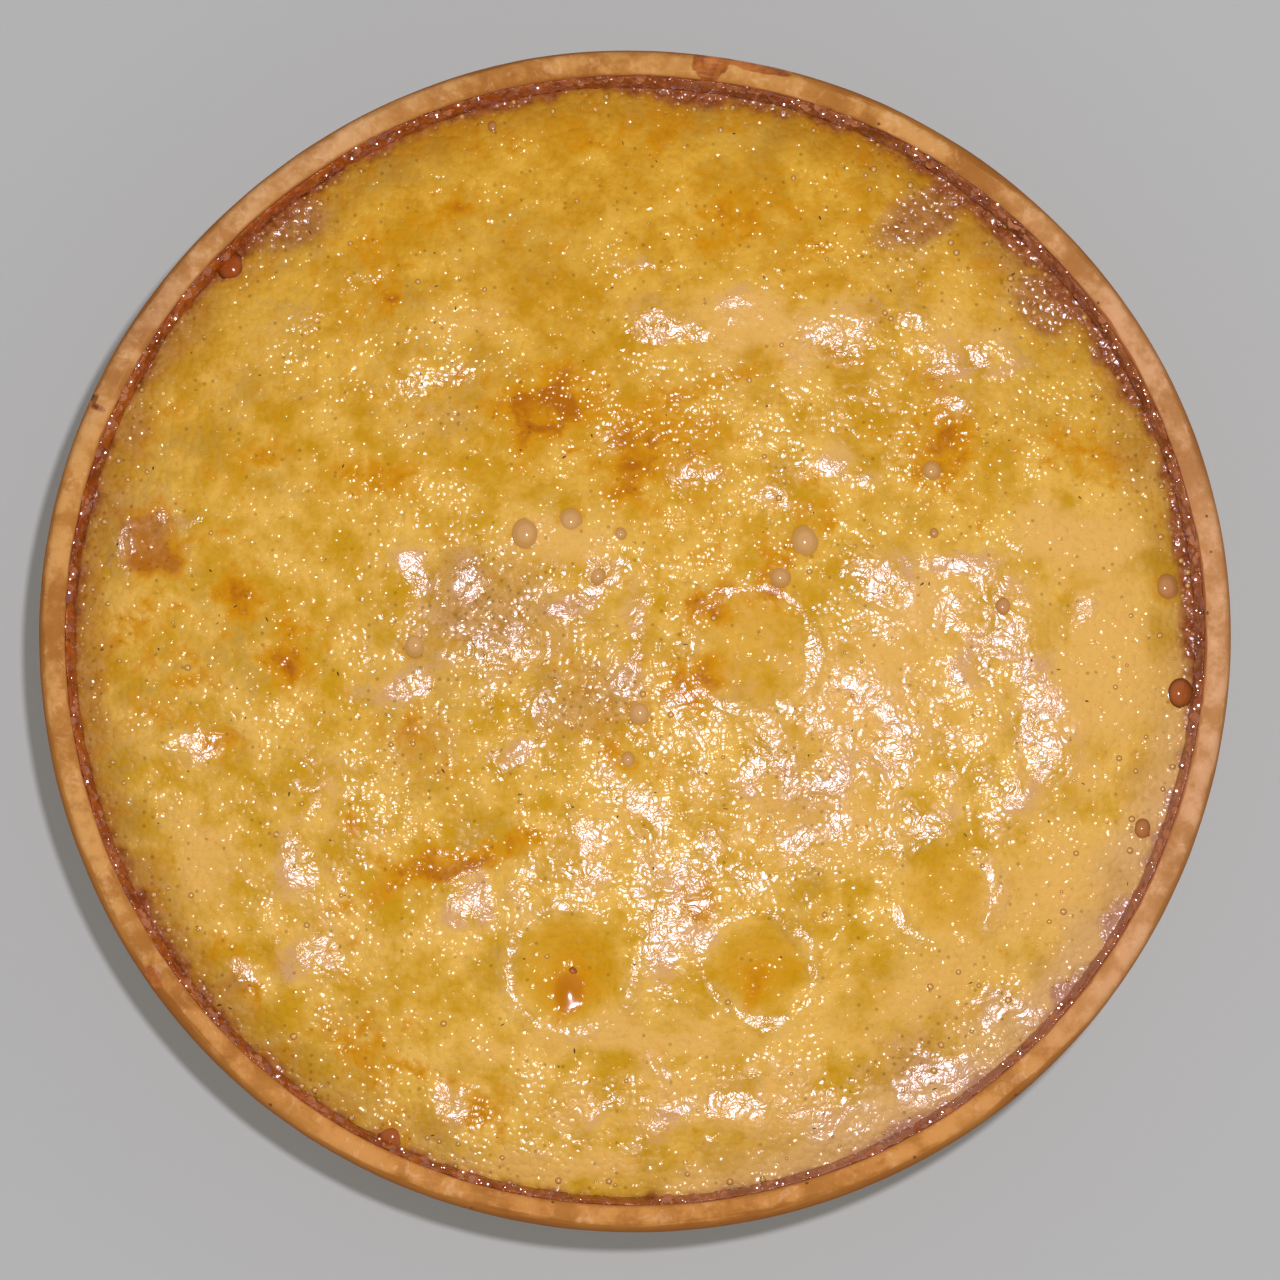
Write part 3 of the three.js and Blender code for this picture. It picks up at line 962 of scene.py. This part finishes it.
def make_curd():
    """A closed solid: the fine uneven top, then coarse rows down the wall to the middle of the floor."""
    share = np.linspace(0, 1, WALL_STEPS)
    wall_radius, wall_height = (values / MM for values in inner_wall(share))
    edge = np.interp(CURD_LEVEL, wall_height, wall_radius) + WALL_CLING
    flat, faces, rim = round_sheet(CURD_RINGS)
    x, y = edge * flat.T
    top = np.stack([x, y, curd_height(x, y)], axis=1)
    points = [top]
    above = rim
    turn = flat[rim]
    for row in range(1, CURD_WALL_ROWS + 1):
        height = CURD_LEVEL + (FLOOR_THICKNESS / MM - CURD_LEVEL) * row / CURD_WALL_ROWS
        radius = np.interp(height, wall_height, wall_radius)
        points.append(np.column_stack([radius * turn, np.full(len(rim), height)]))
        below = len(top) + (row - 1) * len(rim) + np.arange(len(rim))
        quads = np.stack([above, below, np.roll(below, -1), np.roll(above, -1)], axis=1)
        faces = np.concatenate([faces, quads[:, [0, 1, 2]], quads[:, [0, 2, 3]]])
        above = below
    middle = len(top) + CURD_WALL_ROWS * len(rim)
    points.append([[0, 0, FLOOR_THICKNESS / MM]])
    fan = np.stack([above, np.full(len(rim), middle), np.roll(above, -1)], axis=1)
    faces = np.concatenate([faces, fan])
    mesh = bpy.data.meshes.new("doi_curd_skin")
    mesh.from_pydata(np.concatenate(points) * MM, [], faces)
    mesh.shade_smooth()
    return mesh


def mark_skin(mesh):
    """Stores what each place of the skin is like, for its material and for the bubbles on it."""
    x, y, z = points_of(mesh).T / MM
    reach = LIP_INNER / MM - np.hypot(x, y)
    ring, torn = bare_shares(x, y, reach)
    put_values(mesh, "film", ring)
    put_values(mesh, "bare", torn)
    put_values(mesh, "crest", np.clip(skin_relief(x, y) / 0.6, -1, 1))
    put_values(mesh, "moist", moist_shares(x, y))
    # Painted sheen: a pinkish tint in the moist clusters, standing for the glow round their sparks.
    put_values(mesh, "rosy", smoothstep(cluster_shares(x, y), 0.25, 0.75))
    put_values(mesh, "pale", patches(x, y, PALES, 61))
    # The skin is thinner and browner along the far wall, and brown round the foot of each blister.
    fringe = 1 - smoothstep(reach + 3 * ripple(x, y, 9, 21), 1.5, 9.0)
    veiled = fringe * smoothstep(y - 0.8 * x, -90, 10)
    dusty = veiled * (1 - 0.75 * smoothstep(y - 0.3 * np.abs(x), 35, 65))
    put_values(mesh, "thin", np.maximum(patches(x, y, THINS, 41), 0.6 * dusty))
    halo = 0
    for blister_x, blister_y, radius, brown in BLISTERS:
        away = np.hypot(x - blister_x, y - blister_y) / radius
        halo = np.maximum(halo, 0.3 * np.exp(-(((away - 1) / 0.45) ** 2)))
    put_values(mesh, "stain", np.max([patches(x, y, STAINS, 51), halo, 0.5 * veiled], axis=0))
    # Painted shade deepens the gold in the clean dimples, and the bead gleams.
    dimple_shading = np.zeros(len(x))
    for (dimple_x, dimple_y, radius, depth), share in zip(CLEAN_DIMPLES, DIMPLE_SHADE):
        inside = 1 - smoothstep(from_dimple(x, y, dimple_x, dimple_y, radius), 0.62, 1.0)
        dimple_shading = np.maximum(dimple_shading, share * inside)
    put_values(mesh, "deep", dimple_shading)
    put_values(mesh, "gleam", smoothstep(bead_shares(x, y + GLEAM_DROP), 0.3, 0.65))
    # Along the wall the skin is shaded, and milky at the near right.
    near_right = smoothstep(0.707 * (x - y), 60, 86)
    by_wall = 1 - smoothstep(reach + 2 * ripple(x, y, 7, 22), 3, 11)
    shaded = smoothstep(y + 0.4 * np.abs(x), -95, -45)
    put_values(mesh, "shade", by_wall * (1 - near_right) * shaded)
    put_values(mesh, "milky", by_wall * near_right)
    # Small bubbles stand along the wall, most of them on the right, and a few everywhere on the top.
    right_band = 0.5 * np.exp(-(((reach - 6) / 6) ** 2)) * smoothstep(x, 20, 60)
    froth = np.max([ring, fringe, right_band, np.full(len(x), 0.05)], axis=0)
    put_values(mesh, "froth", froth * smoothstep(z, CURD_LEVEL - 4, CURD_LEVEL - 3))


def paint_cream(tree, where, skin):
    """The skin's colour, from the golden cream to what is browned, thin, moist or torn."""
    east, north = tree.parts(where)[:2]
    cloud, mottle = skin.cloud - 0.5, skin.mottle - 0.5
    # Yellow cream, browner on the far side, olive in patches and paler on the crests.
    near_gold = tree.smooth(skin.cloud + mottle * 0.15, 0.32, 0.66)
    near_gold = tree.blend(near_gold, srgb(196, 146, 20), srgb(229, 181, 84))
    far_gold = tree.smooth(skin.cloud + mottle * 0.3, 0.3, 0.68)
    far_gold = tree.blend(far_gold, srgb(191, 133, 14), srgb(221, 170, 56))
    far = tree.smooth(north + (skin.patch - 0.5) * (70 * MM), -10 * MM, 95 * MM)
    golden = tree.blend(far, near_gold, far_gold)
    olive = tree.smooth(skin.patch + mottle * 0.5, 0.5, 0.8)
    west = tree.smooth(east, 0.0, -80 * MM)
    golden = tree.blend(olive * (0.5 + west * 0.35), golden, srgb(183, 142, 60))
    cream = tree.smooth(skin.pale + cloud * 0.6 + mottle * 0.4 + skin.crest * 0.3, 0.12, 0.9)
    colour = tree.blend(cream, golden, srgb(223, 173, 88))
    # Painted shade: a deeper gold inside the clean dimples.
    shaded_gold = tree.blend(skin.cloud, srgb(190, 134, 4), srgb(210, 154, 18))
    colour = tree.blend(skin.deep, colour, shaded_gold)
    # Caramel stains, darkest in the troughs, and the bead of whey.
    streak = tree.noise(where, 3.6 * MM, 3.0, 0.6, 0.5)
    brown = skin.stain - skin.crest * 0.25
    brown = brown + ((streak - 0.5) * 1.4 + cloud * 0.6) * (1 - skin.deep * 0.7)
    colour = tree.blend(tree.smooth(brown, 0.12, 0.62), colour, srgb(203, 138, 10))
    colour = tree.blend(tree.smooth(brown, 0.5, 1.05), colour, srgb(174, 100, 4))
    colour = tree.blend(skin.gleam * 0.6, colour, srgb(184, 108, 4))
    # Brown curd under thin cream.
    spotted = tree.smooth(skin.mottle, 0.3, 0.7)
    veil = tree.smooth(skin.thin + skin.moist * 0.3 + mottle * 0.5 + cloud * 0.4, 0.1, 0.95)
    colour = tree.blend(veil * 0.85, colour, tree.blend(spotted, srgb(166, 116, 46), srgb(204, 155, 94)))
    # In patches the moist skin is painted pinkish, a painted sheen round its sparks. Along the wall it is
    # painted darker as shade, and milky at the near right.
    rosy = skin.rosy * tree.smooth(skin.cloud + mottle * 0.7, 0.38, 0.62)
    rosy = rosy * tree.smooth(brown, 0.6, 0.1)
    colour = tree.blend(rosy * 0.6, colour, srgb(204, 154, 114))
    colour = tree.blend(skin.shade * 0.3, colour, srgb(150, 98, 36))
    colour = tree.blend(skin.milky * 0.5, colour, srgb(206, 164, 120))
    # The bare curd of the tears and of the ring along the wall.
    raw = tree.blend(spotted, srgb(148, 87, 22), srgb(184, 126, 62))
    colour = tree.blend(skin.bare * 0.9, colour, raw)
    dried = tree.blend(spotted, srgb(126, 58, 14), srgb(176, 106, 56))
    near_right = tree.smooth(east - north, 95 * MM, 125 * MM)
    dried = tree.blend(near_right * 0.85, dried, srgb(190, 138, 106))
    colour = tree.blend(skin.film, colour, dried)
    # Tiny brown bubbles under the skin, most of them where it is thin, and brown dust on it.
    cells = {"Vector": where, "Scale": 1 / (1.5 * MM)}
    cells = tree.node("ShaderNodeTexVoronoi", {"voronoi_dimensions": "2D"}, cells, out="Distance")
    chance = tree.node("ShaderNodeSeparateColor", None, {0: cells.also("Color")}, out=0)
    speck = tree.smooth(cells, 0.3, 0.1) * tree.smooth(chance + skin.thin * 0.4, 0.93, 0.97)
    colour = tree.blend(speck * 0.45, colour, srgb(116, 74, 16))
    dust = tree.smooth(tree.noise(where, 0.9 * MM, 3.0, 0.7), 0.56, 0.72)
    return tree.blend(dust * (0.26 + 0.4 * veil), colour, srgb(146, 98, 20))


def wrinkle_skin(tree, where, skin):
    """Dry skin is pebbled, and each pebble holds its own spark. Moist skin has fine, shallow wrinkles."""
    pebble = {"Vector": where, "Scale": 1 / (1.1 * MM), "Smoothness": 0.35}
    pebble_kind = {"voronoi_dimensions": "2D", "feature": "SMOOTH_F1"}
    pebble = tree.node("ShaderNodeTexVoronoi", pebble_kind, pebble, out="Distance")
    wrinkle = tree.noise(where, 2.6 * MM, 3.4, 0.52, 0.7)
    froth = tree.noise(where, 2.2 * MM, 1.0, 0.5) * (skin.film * 4.0 + skin.bare * 3.0)
    wet = tree.smooth(skin.moist, 0.1, 0.65)
    height = wrinkle * (0.8 + wet * 3.0) - pebble * pebble * (2.0 - wet * 1.7) + froth
    return tree.bump(height * (1 - skin.gleam), 0.12 * MM)


def paint_curd(tree):
    """Moist and bare places are glossy, and so are small spots all over. Damp skin between them shines
    softly, and the rest is dull."""
    where = tree.place()
    marks = "bare film crest thin stain pale deep moist gleam rosy shade milky".split()
    skin = SimpleNamespace(**{mark: tree.attribute(mark) for mark in marks})
    skin.patch = tree.noise(where, 20 * MM, 3.0, 0.55)
    skin.cloud = tree.noise(where, 7 * MM, 4.0, 0.6)
    skin.mottle = tree.noise(where, 2.2 * MM, 4.0, 0.65)
    spot = tree.noise(where, 1.5 * MM, 2.0, 0.6)
    face = {"Base Color": paint_cream(tree, where, skin), "Normal": wrinkle_skin(tree, where, skin)}
    dull = tree.surface({**face, "Roughness": 0.9, "Specular IOR Level": 0.12})
    shine = {"Roughness": 0.38, "Specular IOR Level": 0.6, "Specular Tint": (1.0, 0.93, 1.0, 1.0)}
    damp = tree.smooth(skin.moist + (skin.mottle - 0.5) * 0.8, 0.15, 0.7)
    dull = tree.node("ShaderNodeMixShader", None, {0: damp, 1: dull, 2: tree.surface({**face, **shine})})
    # Sparks are golden on dry skin, and nearly white, with a touch of violet, in the moist clusters.
    sparks = {**face, "Roughness": 0.2 - skin.gleam * 0.07, "Specular IOR Level": 0.57}
    golden = tree.surface({**sparks, "Specular Tint": (1.0, 0.9, 0.62, 1.0)})
    violet = tree.surface({**sparks, "Specular Tint": (0.91, 0.88, 1.0, 1.0)})
    cluster = skin.moist + skin.gleam + skin.film + skin.bare + (spot - 0.5) * 1.4
    cluster = tree.smooth(cluster, 0.15, 0.5)
    glossy = tree.node("ShaderNodeMixShader", None, {0: cluster, 1: golden, 2: violet})
    gloss = skin.moist * 0.5 + spot + (skin.cloud - 0.5) * 0.6 - skin.pale * 0.08
    gloss = tree.smooth(gloss, 0.57, 0.67)
    for always in (skin.film, skin.bare, skin.gleam):
        gloss = gloss.math("MAXIMUM", always)
    return tree.node("ShaderNodeMixShader", None, {0: gloss, 1: dull, 2: glossy})


def settle(piece):
    """Fits a true round piece of the doi into the hand-thrown dish, and fixes it there."""
    put_points(piece.data, hand_thrown(points_of(piece.data)))
    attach(piece, "root")


curd_mesh = make_curd()
mark_skin(curd_mesh)
curd_mesh.materials.append(make_finish("cream_skin", paint_curd))
curd = bpy.data.objects.new("doi_curd_skin", curd_mesh)
bpy.context.scene.collection.objects.link(curd)
round_curd = curd_mesh.copy()
settle(curd)
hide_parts("doi_curd")

# The film on the wall
# Milk that rose while it was heated dried on the wall above the curd. It is thin, glossy and red-brown,
# with small bubbles left in it, in runs with gaps between them, and it ends in an uneven line under the lip.
FILM_LOW = 46.0 * MM
FILM_HIGH = 50.4 * MM
FILM_SEAM = 0.005 * MM
FILM_EDGE_WAVE = 0.5
FILM_EDGE_SIZE = 0.11
BUBBLE_EDGE = 0.55
FILM_BUBBLE_HEIGHT = 0.1


def spread_film(tree, start, size):
    """A ring, half sunk in the wall, whose rounded face bulges with bubbles."""
    grid = {"Vertices X": size["Sides"] + 1, "Vertices Y": size["Rows"] + 1}
    grid = tree.node("GeometryNodeMeshGrid", None, grid)
    turn, step = tree.parts(grid.also("UV Map"))[:2]
    round_about = step * math.tau
    angle = turn * math.tau
    heading = tree.vector(angle.math("COSINE"), angle.math("SINE"), 0.0)
    wave = tree.noise(heading, FILM_EDGE_SIZE, 3.0, 0.6) * FILM_EDGE_WAVE
    middle, half = (FILM_HIGH + FILM_LOW) / 2, (FILM_HIGH - FILM_LOW) / 2
    height = middle + half * round_about.math("SINE") * (1 - FILM_EDGE_WAVE / 2 + wave)
    share = (height - FLOOR_THICKNESS) / (LIP_BASE - FLOOR_THICKNESS)
    wall = LIP_INNER - (1 - share) * size["Wall lean"]
    bulge = round_about.math("COSINE") * size["Thickness"]
    point = {"Vector": tree.vector(wall - bulge, 0.0, height), "Angle": angle}
    point = tree.node("ShaderNodeVectorRotate", {"rotation_type": "Z_AXIS"}, point)
    ring = {"Geometry": tree.moved(grid, {"Position": point}), "Distance": FILM_SEAM}
    ring = tree.node("GeometryNodeMergeByDistance", None, ring)
    place = tree.node("GeometryNodeInputPosition")
    bubble = {"Vector": place, "Scale": 1 / size["Bubble size"], "Smoothness": 0.3}
    bubble = tree.node("ShaderNodeTexVoronoi", {"feature": "SMOOTH_F1"}, bubble)
    return tree.pushed(ring, (BUBBLE_EDGE - bubble) * size["Bubble rise"])


def paint_film(tree):
    where = tree.place()
    east, north = tree.parts(where)[:2]
    cloud = tree.noise(where, 6 * MM, 3.0, 0.6)
    mottle = tree.noise(where, 1.4 * MM, 2.0, 0.5)
    left_milk = tree.blend(tree.smooth(cloud, 0.3, 0.7), srgb(140, 54, 4), srgb(168, 82, 16))
    right_milk = tree.blend(tree.smooth(cloud, 0.3, 0.7), srgb(118, 54, 24), srgb(162, 94, 52))
    colour = tree.blend(tree.smooth(east, -50 * MM, 40 * MM), left_milk, right_milk)
    burnt = tree.noise(where, 3.2 * MM, 3.0, 0.6, 0.6)
    colour = tree.blend(tree.smooth(burnt, 0.48, 0.64) * 0.6, colour, srgb(92, 38, 10))
    colour = tree.blend(tree.smooth(mottle, 0.5, 0.75) * 0.4, colour, srgb(196, 134, 84))
    near_right = tree.smooth(east - north + (cloud - 0.5) * 0.03, 0.09, 0.13)
    colour = tree.blend(near_right * 0.6, colour, srgb(160, 104, 84))
    grain = tree.noise(where, 0.9 * MM, 2.0, 0.5) + mottle * 0.6
    sockets = {"Base Color": colour, "Roughness": 0.15, "Specular IOR Level": 0.45}
    return tree.surface({**sockets, "Normal": tree.bump(grain, 0.3 * MM)})


def dome(tree, sides, rings, rise, power):
    """A low dome of radius 1, marked with its height. A high power gives it a soft foot."""
    ball = {"Segments": sides, "Rings": rings, "Radius": 1.0}
    ball = tree.node("GeometryNodeMeshUVSphere", None, ball)
    east, north, up = tree.parts(tree.node("GeometryNodeInputPosition"))
    low = up.math("ABSOLUTE") ** power * up.math("SIGN") * rise
    return tree.moved(tree.marked(ball, "dome", up), {"Position": tree.vector(east, north, low)})


def scatter(tree, mesh, size, share):
    """Points on a mesh, no two of them close together, thick where share is high."""
    sockets = {
        "Mesh": mesh,
        "Distance Min": size["Spacing"],
        "Density Max": size["Density"],
        "Density Factor": share,
        "Seed": size["Seed"],
    }
    return tree.node("GeometryNodeDistributePointsOnFaces", {"distribute_method": "POISSON"}, sockets)


def pick(tree, low, high, seed):
    """A random number for each point."""
    sockets = {2: low, 3: high, "Seed": seed}
    return tree.node("FunctionNodeRandomValue", {"data_type": "FLOAT"}, sockets, out=1)


def set_on(tree, points, shape, sockets):
    """One copy of a shape on each point."""
    sockets = {"Points": points, "Instance": shape, **sockets}
    return tree.node("GeometryNodeInstanceOnPoints", None, sockets)


def bead_film(tree, start, size):
    """Domes on the upper part of the film, small ones the most, each leaning in from the wall."""
    place = tree.node("GeometryNodeInputPosition")
    east, north, height = tree.parts(place)
    runs = tree.smooth(tree.noise(place, size["Run length"], 2.0), 0.32, 0.5)
    upper = tree.smooth(height, size["From height"], size["From height"] + 1 * MM)
    points = scatter(tree, start, size, runs * upper)
    share = pick(tree, 0.0, 1.0, size["Seed"])
    lean = pick(tree, size["Least lean"], size["Most lean"], size["Seed"] + 1) * -1
    sockets = {
        "Rotation": tree.vector(0.0, lean, north.math("ARCTAN2", east)),
        "Scale": size["Smallest"] + (size["Largest"] - size["Smallest"]) * share * share,
    }
    return set_on(tree, points, dome(tree, size["Sides"], size["Rings"], FILM_BUBBLE_HEIGHT, 2), sockets)


def paint_film_bubble(tree):
    cloud = tree.noise(tree.place(), 4 * MM, 2.0, 0.5)
    colour = tree.blend(tree.smooth(cloud, 0.35, 0.65), srgb(126, 54, 14), srgb(170, 98, 50))
    return tree.surface({"Base Color": colour, "Roughness": 0.11, "Specular IOR Level": 0.8})


film = grow(
    "dried_milk_film",
    {
        "Sides": 1440,
        "Rows": 22,
        "Wall lean": 5.5 * MM,
        "Thickness": 0.45 * MM,
        "Bubble size": 1.7 * MM,
        "Bubble rise": 0.5 * MM,
    },
    spread_film,
    make_finish("dried_milk", paint_film),
)
film_bubbles = grow(
    "film_bubbles",
    {
        "Density": 1500000.0,
        "Spacing": 0.42 * MM,
        "Smallest": 0.22 * MM,
        "Largest": 0.95 * MM,
        "Least lean": 0.0,
        "Most lean": 0.7,
        "From height": 48.8 * MM,
        "Run length": 16 * MM,
        "Seed": 5,
        "Sides": 12,
        "Rings": 7,
    },
    bead_film,
    make_finish("film_bubble", paint_film_bubble),
    film.data,
)
settle(film)
settle(film_bubbles)

# The blisters and the small bubbles
# Steam lifted the skin into smooth round domes while the curd set. The large ones are tan, or brown by the
# wall, with one point of light each. Small ones crowd along the wall, where the skin is thin.
BLISTER_HEIGHT = 0.26
BLISTER_WIDTH = (0.82, 1.02)
BLISTER_LENGTH = (0.98, 1.22)


def raise_blisters(tree, start, size):
    """One dome on each point, as wide as the point's own radius and a little longer."""
    radius = tree.node("GeometryNodeInputNamedAttribute", {"data_type": "FLOAT"}, {"Name": "radius"})
    brown = tree.node("GeometryNodeInputNamedAttribute", {"data_type": "FLOAT"}, {"Name": "brown"})
    wide, long = pick(tree, *BLISTER_WIDTH, 3), pick(tree, *BLISTER_LENGTH, 4)
    shape = dome(tree, size["Sides"], size["Rings"], BLISTER_HEIGHT, 3)
    domes = set_on(tree, start, shape, {"Scale": tree.vector(radius * wide, radius * long, radius)})
    return tree.marked(domes, "brown", brown, "INSTANCE")


def paint_blister(tree):
    up = tree.attribute("dome")
    cloud = tree.noise(tree.place(), 3 * MM, 2.0, 0.5)
    lit_crown = tree.blend(cloud, srgb(182, 131, 64), srgb(196, 147, 86))
    # Painted light and shade: the tan domes are lighter on the crown and darker at the foot, and so are the
    # brown ones.
    lit_crown = tree.blend(tree.smooth(up, 0.7, 0.95), lit_crown, srgb(203, 155, 96))
    colour = tree.blend(tree.smooth(up, 0.75, 0.15), lit_crown, srgb(184, 134, 58))
    shaded_brown = tree.blend(tree.smooth(up, 0.3, 0.9), srgb(98, 40, 8), srgb(160, 78, 28))
    colour = tree.blend(tree.attribute("brown"), colour, shaded_brown)
    return tree.surface({"Base Color": colour, "Roughness": 0.13, "Specular IOR Level": 0.3})


def scatter_bubbles(tree, start, size):
    """Small domes on the curd, thick where its froth value is high."""
    froth = tree.node("GeometryNodeInputNamedAttribute", {"data_type": "FLOAT"}, {"Name": "froth"})
    points = scatter(tree, start, size, froth)
    sockets = {
        "Rotation": points.also("Rotation"),
        "Scale": pick(tree, size["Smallest"], size["Largest"], size["Seed"]),
    }
    return set_on(tree, points, dome(tree, size["Sides"], size["Rings"], BLISTER_HEIGHT, 2), sockets)


def paint_bubble(tree):
    up = tree.attribute("dome")
    # Painted highlight: each small bubble's top is painted pale, and its foot is painted dark as shade.
    colour = tree.blend(tree.smooth(up, 0.85, 0.97), srgb(190, 138, 66), srgb(232, 194, 134))
    colour = tree.blend(tree.smooth(up, 0.7, 0.2), colour, srgb(124, 78, 20))
    return tree.surface({"Base Color": colour, "Roughness": 0.13, "Specular IOR Level": 0.3})


blister_x, blister_y, blister_radius, blister_brown = np.array(BLISTERS).T
blister_places = np.stack([blister_x, blister_y, curd_height(blister_x, blister_y)], axis=1)
blister_mesh = bpy.data.meshes.new("blister_places")
blister_mesh.from_pydata(blister_places * MM, [], [])
put_values(blister_mesh, "radius", blister_radius * MM)
put_values(blister_mesh, "brown", blister_brown)
blisters = grow(
    "large_blisters",
    {"Sides": 32, "Rings": 18},
    raise_blisters,
    make_finish("blister_skin", paint_blister),
    blister_mesh,
)
settle(blisters)
bubbles = grow(
    "small_bubbles",
    {
        "Density": 70000.0,
        "Spacing": 1.0 * MM,
        "Smallest": 0.18 * MM,
        "Largest": 0.6 * MM,
        "Seed": 7,
        "Sides": 10,
        "Rings": 6,
    },
    scatter_bubbles,
    make_finish("bubble_skin", paint_bubble),
    round_curd,
)
settle(bubbles)

# The burnt flakes
# Slivers of scorched cream, a millimetre long at most, that fell back on the skin while the milk was boiled
# down, and stuck there.


def scatter_flakes(tree, start, size):
    """Thin slivers that lie on the curd's top, turned every way."""
    height = tree.parts(tree.node("GeometryNodeInputPosition"))[2]
    points = {
        "Mesh": start,
        "Density": size["Density"],
        "Seed": size["Seed"],
        "Selection": height.math("GREATER_THAN", size["From height"]),
    }
    points = tree.node("GeometryNodeDistributePointsOnFaces", None, points)
    sliver = {"Segments": size["Sides"], "Rings": size["Rings"], "Radius": 1.0}
    sliver = tree.node("GeometryNodeMeshUVSphere", None, sliver)
    reach = pick(tree, size["Shortest"], size["Longest"], size["Seed"])
    across = pick(tree, size["Thinnest"], size["Thickest"], size["Seed"] + 1)
    turn = pick(tree, 0.0, math.tau, size["Seed"] + 2)
    sockets = {"Rotation": tree.vector(0.0, 0.0, turn), "Scale": tree.vector(reach, across, across)}
    return set_on(tree, points, sliver, sockets)


def paint_flake(tree):
    return tree.surface({"Base Color": srgb(72, 42, 14), "Roughness": 0.6})


flakes = grow(
    "burnt_flakes",
    {
        "Density": 4200.0,
        "From height": (CURD_LEVEL - 3) * MM,
        "Shortest": 0.12 * MM,
        "Longest": 0.5 * MM,
        "Thinnest": 0.07 * MM,
        "Thickest": 0.16 * MM,
        "Seed": 12,
        "Sides": 8,
        "Rings": 5,
    },
    scatter_flakes,
    make_finish("burnt_flake", paint_flake),
    round_curd,
)
settle(flakes)

# The floor, the light and the camera
# A plain grey floor, an even sky, and one soft lamp beside the camera that draws the sparks on the wet
# skin. The camera looks down from just in front of the dish.
FLOOR_SIDE = 6.0
LAMP_AT = Vector((27, -7, 480)) * MM
LAMP_RADIUS = 6 * MM
LAMP_POWER = 1.14
LAMP_COLOUR = (1.0, 0.96, 1.05)
SKY = 0.7
ZENITH = 0.03
AIM = Vector((0.84, -1.65, 50)) * MM
CAMERA_DISTANCE = 430 * MM
CAMERA_RISE = math.radians(85.35)
FRAME_WIDTH = 214.95 * MM
SENSOR = 36.0


def paint_floor(tree):
    cloud = tree.noise(tree.place(), 300 * MM, 2.0, 0.5)
    colour = tree.blend(cloud, srgb(191, 193, 190), srgb(194, 196, 193))
    return tree.surface({"Base Color": colour, "Roughness": 0.9})


half_side = FLOOR_SIDE / 2
corners = [(x * half_side, y * half_side, 0) for x, y in ((-1, -1), (1, -1), (1, 1), (-1, 1))]
floor_mesh = bpy.data.meshes.new("floor")
floor_mesh.from_pydata(corners, [], [(0, 1, 2, 3)])
floor_mesh.materials.append(make_finish("plain_floor", paint_floor))
floor_piece = bpy.data.objects.new("floor", floor_mesh)
bpy.context.scene.collection.objects.link(floor_piece)

lamp = bpy.data.lights.new("lamp", "AREA")
lamp.shape = "DISK"
lamp.size = 2 * LAMP_RADIUS
lamp.energy = LAMP_POWER
lamp.color = LAMP_COLOUR
lamp_piece = bpy.data.objects.new("lamp", lamp)
lamp_piece.location = LAMP_AT
lamp_piece.rotation_euler = (AIM - LAMP_AT).to_track_quat("-Z", "Y").to_euler()
bpy.context.scene.collection.objects.link(lamp_piece)

world = bpy.data.worlds.new("sky")
world.use_nodes = True
world.node_tree.nodes.clear()
sky = Tree(world.node_tree)
up = sky.parts(sky.place())[2]
overhead = sky.smooth(up, 0.72, 0.92)
sky_colour = sky.blend(overhead, (SKY, SKY, SKY, 1), (ZENITH, ZENITH, ZENITH, 1))
light = sky.node("ShaderNodeBackground", None, {"Color": sky_colour})
sky.node("ShaderNodeOutputWorld", None, {"Surface": light})
bpy.context.scene.world = world
bpy.context.scene.view_settings.view_transform = "Standard"

camera = bpy.data.cameras.new("camera")
camera.sensor_width = SENSOR
camera.lens = SENSOR * CAMERA_DISTANCE / FRAME_WIDTH
camera_piece = bpy.data.objects.new("camera", camera)
back = Vector((0, -math.cos(CAMERA_RISE), math.sin(CAMERA_RISE)))
camera_piece.location = AIM + CAMERA_DISTANCE * back
camera_piece.rotation_euler = (-back).to_track_quat("-Z", "Y").to_euler()
bpy.context.scene.collection.objects.link(camera_piece)
bpy.context.scene.camera = camera_piece
